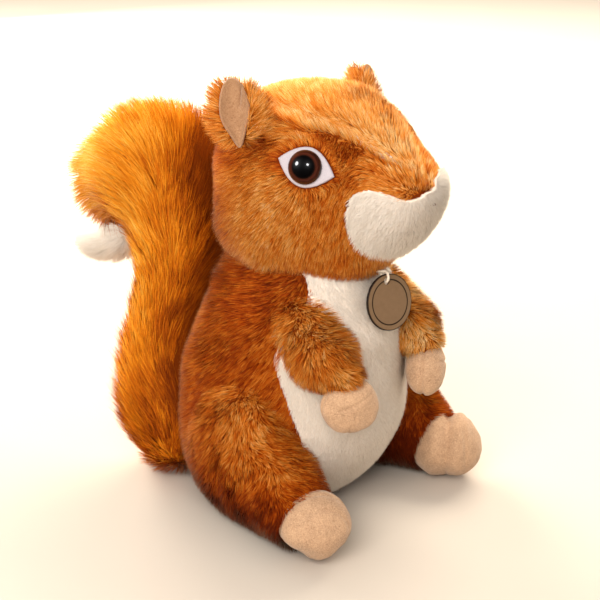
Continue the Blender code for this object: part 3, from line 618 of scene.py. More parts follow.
def pile(name, R, T, N, width, shade, material, bow=None, levels=2, roll=None, lean=None, mid_at=0.5):
    """Tapered fibres from roots R to tips T. shade from 0 to 1 picks the colour."""
    n = len(R)
    r = np.random.default_rng(len(name) * 7 + n % 97)
    along = unit(T - R)
    face = N + 0.0
    W = unit(np.cross(along, face) + 1e-9)
    if roll is None:
        roll = 0.7
    W = rotate(W, along, (r.random(n) * 2 - 1) * roll)
    W = W * (np.asarray(width) * np.ones(n))[:, None] / 2
    bow = N * 0.0 if bow is None else bow
    if levels == 2:
        M = R + (T - R) * mid_at + bow
        V = np.stack([R - W, R + W, M - W * 0.85, M + W * 0.85, T], 1)
        quad = np.array([[0, 1, 3, 2]])
        tri = np.array([[2, 3, 4]])
        v_of = np.array([0.02, 0.02, mid_at, mid_at, 0.98])
        side = np.array([0, 1, 0, 1, 0.5])
    elif levels == 3:
        M1 = R + (T - R) * 0.36 + bow * 0.9
        M2 = R + (T - R) * 0.72 + bow * 0.75
        V = np.stack([R - W, R + W, M1 - W, M1 + W, M2 - W * 0.7, M2 + W * 0.7, T], 1)
        quad = np.array([[0, 1, 3, 2], [2, 3, 5, 4]])
        tri = np.array([[4, 5, 6]])
        v_of = np.array([0.02, 0.02, 0.36, 0.36, 0.72, 0.72, 0.98])
        side = np.array([0, 1, 0, 1, 0, 1, 0.5])
    else:
        V = np.stack([R - W, R + W, T], 1)
        quad = np.zeros((0, 4), int)
        tri = np.array([[0, 1, 2]])
        v_of = np.array([0.02, 0.02, 0.98])
        side = np.array([0, 1, 0.5])
    per = V.shape[1]
    base = (np.arange(n) * per)[:, None]
    pattern = [q for q in quad] + [t for t in tri]
    block = np.concatenate(pattern)
    sizes = np.array([len(p) for p in pattern])
    loop_v = (base + block[None, :]).ravel()
    lens = np.tile(sizes, n)
    start = np.concatenate([[0], np.cumsum(lens)[:-1]])
    mesh = bpy.data.meshes.new(name)
    mesh.vertices.add(n * per)
    mesh.vertices.foreach_set("co", flatten(V))
    mesh.loops.add(len(loop_v))
    mesh.loops.foreach_set("vertex_index", loop_v.astype(np.int32))
    mesh.polygons.add(len(lens))
    mesh.polygons.foreach_set("loop_start", start.astype(np.int32))
    mesh.update(calc_edges=True)
    uv = mesh.uv_layers.new(name="OFBake")
    s = 0.01 + np.clip(shade, 0, 1) * 0.97
    U = s[:, None] + (side[None, :] - 0.0) * 0.006
    VV = np.tile(v_of, (n, 1))
    uvs = np.stack([U, VV], -1).reshape(-1, 2)[loop_v]
    uv.data.foreach_set("uv", flatten(uvs))
    mesh.shade_smooth()
    # soft shading: the fibres take the normal of the surface they grow from
    lift = 0.35 if lean is None else lean
    jitter = r.normal(size=(n, 3)) * 0.16
    SN = unit(N + along * lift + jitter)
    SN = np.repeat(SN[:, None, :], per, 1).reshape(-1, 3)
    mesh.normals_split_custom_set_from_vertices(SN.tolist())
    obj = bpy.data.objects.new(name, mesh)
    scene.collection.objects.link(obj)
    mesh.materials.append(material)
    return obj


def gather(R, T, every, pull, seed=0):
    """Draws the tips of neighbouring fibres together into tufts. Returns the new tips and
    a number from 0 to 1 for each tuft."""
    n = len(R)
    if n == 0:
        return T, np.zeros(0)
    r = np.random.default_rng(seed + 5)
    heads = r.choice(n, max(n // every, 1), replace=False)
    tree = KDTree(len(heads))
    for i, h in enumerate(heads):
        tree.insert(R[h], i)
    tree.balance()
    near = np.array([tree.find(p)[1] for p in R])
    centre = heads[near]
    goal = T[centre]
    length = np.linalg.norm(T - R, axis=1, keepdims=True)
    new = T + (goal - T) * np.asarray(pull)
    new = R + unit(new - R) * length
    return new, r.random(len(heads))[near]


def outside(P, *trees, by=0.0):
    """True for points more than by outside every closed surface."""
    keep = np.ones(len(P), bool)
    for tree in trees:
        for i in np.nonzero(keep)[0]:
            loc, nor, _, dist = tree.find_nearest(Vector(P[i]))
            if (Vector(P[i]) - loc).dot(nor) < by:
                keep[i] = False
    return keep


def joined_skin(parts, voxel, smoothing=4):
    """One closed skin round several lofts, from a fine remesh."""
    P, F, at = [], [], 0
    for rings in parts:
        p, q, _, _, caps = loft(rings)
        P.append(p)
        F += [tuple(int(i) + at for i in f) for f in q]
        F += [tuple(int(i) + at for i in caps[0][::-1]), tuple(int(i) + at for i in caps[1])]
        at += len(p)
    obj = put("joining", np.vstack(P), F)
    work = bmesh.new()
    work.from_mesh(obj.data)
    bmesh.ops.recalc_face_normals(work, faces=work.faces)
    work.to_mesh(obj.data)
    work.free()
    mod = obj.modifiers.new("remesh", "REMESH")
    mod.mode = "VOXEL"
    mod.voxel_size = voxel
    mod = obj.modifiers.new("smooth", "SMOOTH")
    mod.factor = 0.5
    mod.iterations = smoothing
    mesh = bpy.data.meshes.new_from_object(
        obj.evaluated_get(bpy.context.evaluated_depsgraph_get())
    )
    bpy.data.objects.remove(obj, do_unlink=True)
    P = np.zeros(len(mesh.vertices) * 3, np.float32)
    mesh.vertices.foreach_get("co", P)
    Q = np.array([p.vertices[:] for p in mesh.polygons])
    bpy.data.meshes.remove(mesh)
    skin = object.__new__(Skin)
    skin.P = P.reshape(-1, 3).astype(float)
    skin.Q = Q
    skin.T = np.vstack([Q[:, [0, 1, 2]], Q[:, [0, 2, 3]]])
    skin.N = normals_of(skin.P, skin.T)
    skin.caps = []
    if dot(skin.P - skin.P.mean(0), skin.N).sum() < 0:
        skin.N, skin.T, skin.Q = -skin.N, skin.T[:, ::-1], skin.Q[:, ::-1]
    return skin


def reshaped(skin, by):
    skin.P = skin.P + skin.N * by[:, None]
    skin.N = normals_of(skin.P, skin.T)
    return skin


# ------------------------------------------------------------------ materials
class Nodes:
    def __init__(self, name):
        self.mat = bpy.data.materials.new(name)
        self.mat.use_nodes = True
        self.tree = self.mat.node_tree
        self.shader = self.tree.nodes["Principled BSDF"]

    def node(self, kind, **values):
        n = self.tree.nodes.new(kind)
        for key, value in values.items():
            setattr(n, key, value)
        return n

    def link(self, a, b):
        self.tree.links.new(a, b)

    def set(self, **values):
        for key, value in values.items():
            socket = self.shader.inputs[key.replace("_", " ")]
            socket.default_value = value

    def ramp(self, source, stops, smooth_steps=True):
        n = self.node("ShaderNodeValToRGB")
        n.color_ramp.interpolation = "EASE" if smooth_steps else "LINEAR"
        while len(n.color_ramp.elements) < len(stops):
            n.color_ramp.elements.new(0.5)
        for e, (at, colour) in zip(n.color_ramp.elements, stops):
            e.position = at
            e.color = (*colour, 1)
        self.link(source, n.inputs["Fac"])
        return n.outputs["Color"]

    def where(self):
        return self.node("ShaderNodeTexCoord").outputs["Object"]

    def noise(self, scale, detail=3.0, rough=0.55, vector=None, distortion=0.0):
        n = self.node("ShaderNodeTexNoise")
        n.inputs["Scale"].default_value = scale
        n.inputs["Detail"].default_value = detail
        n.inputs["Roughness"].default_value = rough
        n.inputs["Distortion"].default_value = distortion
        self.link(vector or self.where(), n.inputs["Vector"])
        return n.outputs["Fac"]

    def mix(self, a, b, fac, blend="MIX"):
        n = self.node("ShaderNodeMix", data_type="RGBA", blend_type=blend)
        for socket, value in ((n.inputs[0], fac), (n.inputs[6], a), (n.inputs[7], b)):
            if hasattr(value, "links") or hasattr(value, "node"):
                self.link(value, socket)
            elif isinstance(value, tuple):
                socket.default_value = (*value, 1)
            else:
                socket.default_value = value
        return n.outputs[2]

    def bump(self, height, strength, distance, before=None):
        n = self.node("ShaderNodeBump")
        n.inputs["Strength"].default_value = strength
        n.inputs["Distance"].default_value = distance
        self.link(height, n.inputs["Height"])
        if before is not None:
            self.link(before, n.inputs["Normal"])
        return n.outputs["Normal"]

    def math(self, op, a, b=0.0):
        n = self.node("ShaderNodeMath", operation=op)
        for socket, value in ((n.inputs[0], a), (n.inputs[1], b)):
            if hasattr(value, "node"):
                self.link(value, socket)
            else:
                socket.default_value = value
        return n.outputs[0]


def fibre_material(name, hues, root, mid, tip, sheen=0.14):
    """Colour by the fibre's own shade (across the map), with painted shade that darkens it toward its root."""
    m = Nodes(name)
    uv = m.node("ShaderNodeUVMap", uv_map="OFBake")
    split = m.node("ShaderNodeSeparateXYZ")
    m.link(uv.outputs["UV"], split.inputs[0])
    hue = m.ramp(split.outputs[0], hues, False)
    # painted shade: the root and mid factors darken each fibre toward its root, for the shade deep in the pile
    deep = m.ramp(
        split.outputs[1],
        ((0.0, root), (0.5, mid), (1.0, tip)),
        False,
    )
    m.link(m.mix(hue, deep, 1.0, "MULTIPLY"), m.shader.inputs["Base Color"])
    m.set(Roughness=0.75, Specular_IOR_Level=0.08, Sheen_Weight=sheen, Sheen_Roughness=0.24)
    m.shader.inputs["Sheen Tint"].default_value = (1.0, 0.78, 0.50, 1)
    return m.mat


def backing_material(name, dark, light, scale=260.0):
    m = Nodes(name)
    f = m.noise(scale, 4.0, 0.6)
    m.link(m.mix(dark, light, f), m.shader.inputs["Base Color"])
    m.link(m.bump(m.noise(scale * 3, 3.0), 0.6, 0.0006), m.shader.inputs["Normal"])
    m.set(Roughness=0.95, Specular_IOR_Level=0.1)
    return m.mat


ORANGE_HUES = (
    (0.0, linear(96, 30, 3)),
    (0.20, linear(162, 64, 7)),
    (0.38, linear(204, 98, 16)),
    (0.58, linear(234, 144, 50)),
    (0.80, linear(247, 184, 100)),
    (1.0, linear(255, 226, 172)),
)
GOLD_HUES = (
    (0.0, linear(120, 48, 3)),
    (0.25, linear(196, 96, 8)),
    (0.50, linear(240, 148, 28)),
    (0.75, linear(252, 190, 74)),
    (1.0, linear(255, 232, 160)),
)
CREAM_HUES = (
    (0.0, linear(222, 203, 184)),
    (0.5, linear(243, 231, 218)),
    (1.0, linear(252, 247, 240)),
)
WHOLE = (1.0, 1.0, 1.0)
# the root and mid factors below are painted shade deep in the pile
orange_pile = fibre_material("orange_pile", ORANGE_HUES, (0.42, 0.26, 0.14), (0.78, 0.66, 0.52), WHOLE)
gold_pile = fibre_material("gold_pile", GOLD_HUES, (0.52, 0.36, 0.20), (0.84, 0.76, 0.62), WHOLE)
cream_pile = fibre_material("cream_pile", CREAM_HUES, (0.82, 0.81, 0.80), (0.93, 0.93, 0.92), WHOLE, 0.0)
# painted shade: the orange and golden backings are darker than their fur, a dark sheet standing in for the shade
# between the fibres
orange_back = backing_material("orange_backing", linear(84, 28, 3), linear(134, 56, 8))
gold_back = backing_material("gold_backing", linear(110, 50, 4), linear(160, 84, 10))
cream_back = backing_material("cream_backing", linear(226, 210, 194), linear(245, 234, 222), 500.0)


def suede_material(name, colours, seed, fibre=1500.0, marks=True):
    m = Nodes(name)
    where = m.where()
    broad = m.noise(90.0 + seed, 4.0, 0.6, where)
    nap = m.noise(fibre, 5.0, 0.7, where, 0.8)
    a = m.mix(colours[0], colours[1], m.ramp(broad, ((0.35, (0, 0, 0)), (0.65, (1, 1, 1)))))
    flecks = m.ramp(nap, ((0.34, (0.0,) * 3), (0.52, (0.5,) * 3), (0.66, (1.0,) * 3)))
    b = m.mix(a, colours[2], m.math("MULTIPLY", flecks, 0.75))
    pits = m.ramp(m.noise(fibre * 0.8, 4.0, 0.65, where, 1.2), ((0.30, (1, 1, 1)), (0.42, (0, 0, 0))))
    b = m.mix(b, colours[3], m.math("MULTIPLY", pits, 0.55))
    if marks:
        # the fold lines are dented by the bump and also darkened in colour: painted shade in the folds
        fold = m.noise(170.0, 3.0, 0.55, where, 2.2)
        line = m.ramp(fold, ((0.475, (0, 0, 0)), (0.50, (1, 1, 1)), (0.515, (0, 0, 0))))
        b = m.mix(b, colours[3], m.math("MULTIPLY", line, 0.40))
        normal = m.bump(line, -0.40, 0.0008)
        normal = m.bump(nap, 0.60, 0.0006, normal)
    else:
        normal = m.bump(nap, 0.45, 0.0005)
    m.link(b, m.shader.inputs["Base Color"])
    m.link(normal, m.shader.inputs["Normal"])
    m.set(Roughness=0.88, Specular_IOR_Level=0.18, Sheen_Weight=0.35, Sheen_Roughness=0.4)
    m.shader.inputs["Sheen Tint"].default_value = (1.0, 0.9, 0.8, 1)
    return m.mat


beige = suede_material(
    "beige_suede",
    (linear(154, 117, 88), linear(176, 137, 105), linear(218, 184, 150), linear(108, 74, 50)),
    0,
)
ear_suede = suede_material(
    "ear_suede",
    (linear(143, 103, 72), linear(160, 120, 87), linear(184, 146, 112), linear(104, 72, 48)),
    20,
    1200.0,
)


def felt_material():
    m = Nodes("white_felt")
    f = m.noise(1800.0, 5.0, 0.7)
    m.link(m.mix(linear(160, 153, 160), linear(198, 191, 198), f), m.shader.inputs["Base Color"])
    m.link(m.bump(f, 0.35, 0.0004), m.shader.inputs["Normal"])
    m.set(Roughness=0.92, Specular_IOR_Level=0.2, Sheen_Weight=0.3)
    return m.mat


felt = felt_material()


def eye_material(name, spot, normal):
    m = Nodes(name)
    shift = m.node("ShaderNodeVectorMath", operation="SUBTRACT")
    m.link(m.where(), shift.inputs[0])
    shift.inputs[1].default_value = tuple(spot)
    turn = m.node("ShaderNodeVectorMath", operation="CROSS_PRODUCT")
    m.link(shift.outputs[0], turn.inputs[0])
    turn.inputs[1].default_value = tuple(normal)
    length = m.node("ShaderNodeVectorMath", operation="LENGTH")
    m.link(turn.outputs[0], length.inputs[0])
    r = m.math("DIVIDE", length.outputs["Value"], EYE_R)
    # the dark outer ring from 0.94 to the edge is partly the eye's own dark rim and partly painted shade at its edge
    base = m.ramp(
        r,
        (
            (0.0, linear(3, 2, 3)),
            (0.60, linear(5, 3, 4)),
            (0.66, linear(24, 10, 6)),
            (0.70, linear(62, 30, 16)),
            (0.745, linear(72, 22, 16)),
            (0.79, linear(78, 40, 22)),
            (0.84, linear(60, 20, 16)),
            (0.89, linear(52, 26, 16)),
            (0.94, linear(22, 10, 9)),
            (1.0, linear(14, 8, 8)),
        ),
        False,
    )
    streak = m.noise(900.0, 3.0)
    m.link(m.mix(base, linear(8, 4, 3), m.math("MULTIPLY", streak, 0.25)), m.shader.inputs["Base Color"])
    m.set(Roughness=0.35, Coat_Weight=1.0, Coat_Roughness=0.02, Specular_IOR_Level=0.2)
    return m.mat


def board_material():
    m = Nodes("tag_board")
    shift = m.node("ShaderNodeVectorMath", operation="SUBTRACT")
    m.link(m.where(), shift.inputs[0])
    shift.inputs[1].default_value = tuple(TAG_CENTRE)
    length = m.node("ShaderNodeVectorMath", operation="LENGTH")
    m.link(shift.outputs[0], length.inputs[0])
    r = m.math("DIVIDE", length.outputs["Value"], TAG_R)
    grain = m.noise(420.0, 5.0, 0.65)
    specks = m.noise(2400.0, 4.0, 0.7)
    body = m.mix(linear(116, 90, 64), linear(136, 108, 80), grain)
    body = m.mix(body, linear(78, 60, 42), m.math("MULTIPLY", specks, 0.35))
    ring = m.ramp(
        r,
        (
            (0.0, (0, 0, 0)),
            (0.760, (0, 0, 0)),
            (0.772, (1, 1, 1)),
            (0.806, (1, 1, 1)),
            (0.818, (0, 0, 0)),
            (0.955, (0, 0, 0)),
            (0.975, (1, 1, 1)),
            (1.0, (1, 1, 1)),
        ),
        False,
    )
    m.link(m.mix(body, linear(34, 22, 14), ring), m.shader.inputs["Base Color"])
    m.link(m.bump(specks, 0.25, 0.0003), m.shader.inputs["Normal"])
    m.set(Roughness=0.6, Specular_IOR_Level=0.3)
    return m.mat


def cord_material():
    m = Nodes("cream_cord")
    f = m.noise(2600.0, 3.0)
    m.link(m.mix(linear(206, 192, 172), linear(238, 228, 212), f), m.shader.inputs["Base Color"])
    m.link(m.bump(f, 0.4, 0.0003), m.shader.inputs["Normal"])
    m.set(Roughness=0.9, Specular_IOR_Level=0.15)
    return m.mat


def plain_material(name, a, b, scale, rough):
    m = Nodes(name)
    f = m.noise(scale, 4.0)
    m.link(m.mix(a, b, f), m.shader.inputs["Base Color"])
    m.link(m.bump(f, 0.2, 0.0005), m.shader.inputs["Normal"])
    m.set(Roughness=rough)
    return m.mat


board, cord = board_material(), cord_material()
wadding = plain_material("wadding", linear(232, 232, 230), linear(250, 250, 248), 160.0, 1.0)
washer_white = plain_material("washer_plastic", linear(226, 226, 222), linear(236, 236, 232), 300.0, 0.4)
for name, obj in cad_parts.items():
    look = None
    if name.endswith("_filling"):
        look = wadding
    elif name.endswith("_washer"):
        look = washer_white
    if look is not None:
        for s in obj.material_slots:
            s.material = look


# ------------------------------------------------------------------ head
DENSE = 1.0


def made(obj, slot, body, *nodes, stuffed=None):
    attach(obj, body)
    if nodes:
        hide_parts(*nodes)
    return obj


head = Skin(head_rings(76, 120))
s = above_seam(head.P, head.N)
e = np.minimum(in_almond(head.P, -1), in_almond(head.P, 1))
shape = 0.0007 * noise(head.P, 0.017, 3) + 0.0004 * noise(head.P, 0.007, 4)
shape = shape - 0.0017 * np.exp(-((s / 0.0026) ** 2)) + 0.0009 * smooth(0.001, 0.009, s)
shape = shape - 0.0006 * np.exp(-(((e - 1.1) / 0.25) ** 2))
shape = shape - 0.0016 * smooth(0.222, 0.236, head.P[:, 2]) - 0.0012 * smooth(-0.030, -0.050, head.P[:, 1]) * smooth(0.195, 0.210, head.P[:, 2])
reshaped(head, shape)

body = Skin(body_rings(60, 120))
rear = smooth(0.35, 0.85, dot(body.N, -cam_right)) * smooth(0.100, 0.080, body.P[:, 2])
reshaped(body, (0.0020 * rear + 0.0008 * noise(body.P, 0.02, 13) + 0.0004 * noise(body.P, 0.008, 14)) * smooth(0.002, 0.012, body.P[:, 2]))
legs, arms = {}, {}
for sign, side in ((-1, "right"), (1, "left")):
    leg = Skin(leg_rings(44, 64) if sign < 0 else mirrored(leg_rings(44, 64)))
    reshaped(leg, 0.0008 * noise(leg.P, 0.016, 23) + 0.0004 * noise(leg.P, 0.007, 24))
    legs[side] = leg
    rings = tube_rings(ARM_SPINE, 26, 48)
    arm = Skin(rings if sign < 0 else mirrored(rings))
    reshaped(arm, 0.0007 * noise(arm.P, 0.014, 33) + 0.0004 * noise(arm.P, 0.006, 34))
    arms[side] = arm



def posed(P, side):
    """The left leg lies a little further out and back, more so toward its foot."""
    if side == "right":
        return P
    return P + smooth(LEFT_LEG_FROM, LEFT_LEG_TO, P[:, 1])[:, None] * LEFT_LEG_SHIFT


legs["left"].P = posed(legs["left"].P, "left")
body_tree, head_tree = body.tree(), head.tree()
arm_trees = {k: v.tree() for k, v in arms.items()}
leg_trees = {k: v.tree() for k, v in legs.items()}


def aim(R, N, D, lift, length):
    lift = np.radians(lift) * np.ones(len(R))
    T = R + (D * np.cos(lift)[:, None] + N * np.sin(lift)[:, None]) * (np.asarray(length) * np.ones(len(R)))[:, None]
    return T


def grow_fur(name, R, N, D, lift, length, width, shade, material, tufts=((9, 0.5),), levels=1, bow=0.0, seed=0, tuft_shade=0.20, floor=0.0004, roll=0.9, own_shade=0.30):
    r = np.random.default_rng(seed + 101)
    n = len(R)
    length = np.asarray(length) * (0.82 + 0.36 * r.random(n))
    lift = np.asarray(lift) + r.normal(size=n) * 8
    D = rotate(D, N, r.normal(size=n) * 0.22)
    T = aim(R, N, D, lift, length)
    shade = shade + (r.random(n) - 0.5) * own_shade
    for k, (every, pull) in enumerate(tufts):
        T, group = gather(R, T, every, pull, seed + k * 3)
        shade = shade + (group - 0.5) * tuft_shade
    T[:, 2] = np.maximum(T[:, 2], floor)
    bend = N * (np.asarray(bow) * length)[:, None] if np.ndim(bow) or bow else None
    return pile(name, R, T, N, width, shade, material, bend, levels, roll)


# the fur's roots, on the backing
INSET = 0.0038
P, N = head.grown(-INSET).sample(4.4 * DENSE, seed=1)
m_in = in_muzzle(P + N * INSET)
e_right, e_left = in_almond(P, -1), in_almond(P, 1)
ok = (m_in < 0.0) & (e_right > 1.03) & (e_left > 1.03)
ok &= ~((P[:, 2] < 0.150) & (np.hypot(P[:, 0], P[:, 1] + 0.010) < 0.030))
P, N = P[ok], N[ok]
e_right, e_left = e_right[ok], e_left[ok]
s = above_seam(P, N)
top = smooth(-0.0015, 0.0035, s)
snout = smooth(-0.052, -0.070, P[:, 1])
x = P[:, 0]
v_top = np.stack([-np.clip(x / 0.03, -1, 1) * 0.25, 0.85 + 0 * x, 0.30 + 0 * x], 1)
v_side = np.stack([0 * x, 0.35 + 0 * x, -1 + 0 * x], 1)
v_back = np.stack([0 * x, 0 * x, -1 + 0 * x], 1)
behind = smooth(0.02, 0.042, P[:, 1])
v = v_top * top[:, None] + v_side * (1 - top)[:, None]
v_snout = unit(P - np.array((0.0, -0.0905, 0.1890)))
v = v * (1 - snout)[:, None] + v_snout * snout[:, None]
v = v * (1 - behind)[:, None] + v_back * behind[:, None]
for sign, e in ((-1, e_right), (1, e_left)):
    spot = eye_frame(sign)[0]
    w = (np.exp(-(((e - 1) / 0.55) ** 2)) * (e > 0.9))[:, None]
    v = v * (1 - w) + unit(P - spot) * w * 1.2
D = tangent(v, N)
fine = smooth(0.200, 0.180, P[:, 2]) * (1 - snout)
swirl = (0.75 * noise(P, 0.020, 7) + 0.5 * noise(P, 0.0085, 8)) * (1 - 0.6 * fine) * (1 - 0.6 * snout)
D = rotate(D, N, swirl)
e_any = np.minimum(e_right, e_left)
# ledge: the long tufts below the seam in front of the ear; their lighter shade further down is a painted highlight
ledge = np.exp(-(((np.abs(x) - 0.0345) / 0.004) ** 2)) * smooth(-0.040, -0.030, P[:, 1]) * smooth(0.004, -0.004, P[:, 1]) * (P[:, 2] > 0.215)
jaw = smooth(0.152, 0.140, P[:, 2])
nape = smooth(0.006, 0.022, P[:, 1]) * smooth(0.172, 0.158, P[:, 2])
length = 0.0054 + 0.0034 * nape - 0.0005 * fine + 0.0004 * top * (1 - snout) - 0.0008 * snout + 0.0022 * ledge + 0.0014 * jaw
length = length - 0.0016 * np.exp(-(((e_any - 1) / 0.35) ** 2))
lift = 58 - 8 * top + 8 * noise(P, 0.012, 9) - 10 * snout - 10 * jaw
lift = lift - 14 * np.exp(-(((e_any - 1) / 0.3) ** 2))
# painted light: the fur above the gusset seam (top) takes a lighter shade, for the light falling on the top of the head
shade = 0.56 + (0.08 * noise(P, 0.018, 10) + 0.06 * noise(P, 0.006, 12)) * (1 - 0.5 * top) + 0.15 * top
# painted shade: darker just below the gusset seam
shade = shade - 0.14 * smooth(0.0, -0.006, s) * smooth(0.192, 0.204, P[:, 2]) * (1 - top)
shade = shade + 0.06 * smooth(0.200, 0.185, P[:, 2]) * smooth(-0.045, -0.030, P[:, 1]) - 0.30 * smooth(-0.002, 0.024, P[:, 1]) * (1 - top)
shade = shade + 0.08 * snout
# painted shade: a darker band below the seam over the eye
shade = shade - 0.20 * np.exp(-(((s + 0.0065) / 0.0035) ** 2)) * smooth(-0.030, -0.040, P[:, 1]) * smooth(-0.062, -0.050, P[:, 1])
# painted highlight: pale tips on the snout just below the seam
shade = shade + 0.34 * smooth(-0.058, -0.070, P[:, 1]) * np.exp(-(((s + 0.0032) / 0.0022) ** 2)) * (0.6 + 0.6 * noise(P, 0.004, 11))
# painted shade: a dark line right on the seam, slightly lighter just above it; painted highlight on the ledge tufts in
# front of the ear
shade = shade - 0.22 * np.exp(-(((s + 0.0012) / 0.0016) ** 2)) + 0.06 * np.exp(-(((s - 0.004) / 0.003) ** 2)) + 0.34 * ledge * (0.7 + 0.6 * noise(P, 0.004, 11))
keep = outside(P, body_tree, by=-0.001)
pick = keep
head_fur = grow_fur(
    "head_pile", P[pick], N[pick], D[pick], lift[pick], length[pick], 0.00039, shade[pick], orange_pile,
    tufts=((5, 0.36), (40, 0.10)), seed=3, own_shade=0.42,
)
made(head_fur, "orange_plush", "toy", "head_skin")
made(
    skin_object("head_backing", head.grown(-INSET - 0.0001), orange_back),
    "orange_plush", "toy", "head_skin", stuffed=0.9,
)

# ------------------------------------------------------------------ muzzle patch
CREAM_INSET = 0.0014
fine_head = Skin(head_rings(150, 220))
reshaped(fine_head, 0.0003 * noise(fine_head.P, 0.012, 5))
muzzle = skin_object(
    "muzzle_patch_cloth", fine_head.grown(-CREAM_INSET), cream_back,
    keep=lambda c: in_muzzle(c) > 0.0, thick=0.0032,
)
made(muzzle, "white_plush", "toy", "muzzle_patch", stuffed=0.9)
P, N = fine_head.grown(-CREAM_INSET).sample(5.0 * DENSE, seed=2)
d = in_muzzle(P)
ok = d > 0.0
P, N, d = P[ok], N[ok], d[ok]
D = tangent(np.stack([0 * d, 0.8 + 0 * d, -0.5 + 0 * d], 1), N)
D = rotate(D, N, 0.5 * noise(P, 0.02, 15))
edge = np.exp(-((d / 0.002) ** 2))
fuzz = grow_fur(
    "muzzle_pile", P, N, D, 50 + 0 * d, 0.0032 + 0.0006 * edge, 0.00032,
    0.6 + 0.06 * noise(P, 0.015, 16), cream_pile, tufts=((12, 0.2),), levels=1, seed=9, tuft_shade=0.06,
)
made(fuzz, "white_plush", "toy", "muzzle_patch")

# ------------------------------------------------------------------ body and belly
P, N = body.grown(-INSET).sample(3.8 * DENSE, seed=4)
p_in = in_panel(P + N * INSET)
ok = (p_in < 0.0003) & (P[:, 2] > 0.0025)
P, N = P[ok], N[ok]
ok = outside(P, head_tree, arm_trees["right"], arm_trees["left"], leg_trees["right"], leg_trees["left"], by=-0.0050)
P, N = P[ok], N[ok]
v = np.stack([0 * P[:, 0], 0.15 + 0 * P[:, 0], -1 + 0 * P[:, 0]], 1)
D = rotate(tangent(v, N), N, 0.8 * noise(P, 0.024, 17) + 0.4 * noise(P, 0.009, 18))
# painted shade: the body's fur takes a deeper base shade than the head's, for the shade it sits in
shade = 0.31 + 0.07 * noise(P, 0.02, 19) + 0.05 * noise(P, 0.006, 20)
nape = smooth(0.004, 0.018, P[:, 1]) * smooth(0.116, 0.130, P[:, 2])
body_fur = grow_fur(
    "body_pile", P, N, D, 55 + 8 * noise(P, 0.012, 21) + 6 * nape, 0.0058 + 0.0046 * nape, 0.00039, shade, orange_pile,
    tufts=((5, 0.36), (40, 0.10)), seed=5, own_shade=0.36,
)
made(body_fur, "orange_plush", "toy", "body_skin")
made(
    skin_object("body_backing", body.grown(-INSET - 0.0001), orange_back, floor=0.0003),
    "orange_plush", "toy", "body_skin", stuffed=0.9,
)

fine_body = Skin(body_rings(120, 240))
reshaped(fine_body, 0.0004 * noise(fine_body.P, 0.016, 6) * smooth(0.002, 0.012, fine_body.P[:, 2]))


def panel_shown(c):
    shown = in_panel(c) > 0.0
    shown[shown] = outside(c[shown], leg_trees["right"], leg_trees["left"], by=-0.0002)
    return shown


belly = skin_object(
    "belly_panel_cloth", fine_body.grown(-CREAM_INSET), cream_back, floor=0.0006,
    keep=lambda c: panel_shown(c), thick=0.0032,
)
made(belly, "white_plush", "toy", "belly_panel", stuffed=0.9)
P, N = fine_body.grown(-CREAM_INSET).sample(3.6 * DENSE, seed=6)
d = in_panel(P)
ok = (d > 0.0) & (P[:, 2] > 0.002)
P, N, d = P[ok], N[ok], d[ok]
ok = outside(P, head_tree, arm_trees["right"], arm_trees["left"], leg_trees["right"], leg_trees["left"], by=0.0)
P, N, d = P[ok], N[ok], d[ok]
D = tangent(np.stack([0 * d, 0 * d, -1 + 0 * d], 1), N)
D = rotate(D, N, 0.5 * noise(P, 0.02, 15))
fuzz = grow_fur(
    "belly_pile", P, N, D, 38 + 0 * d, 0.0028, 0.00034,
    0.55 + 0.06 * noise(P, 0.02, 16), cream_pile, tufts=((12, 0.2),), levels=1, seed=10, tuft_shade=0.06,
)
made(fuzz, "white_plush", "toy", "belly_panel")

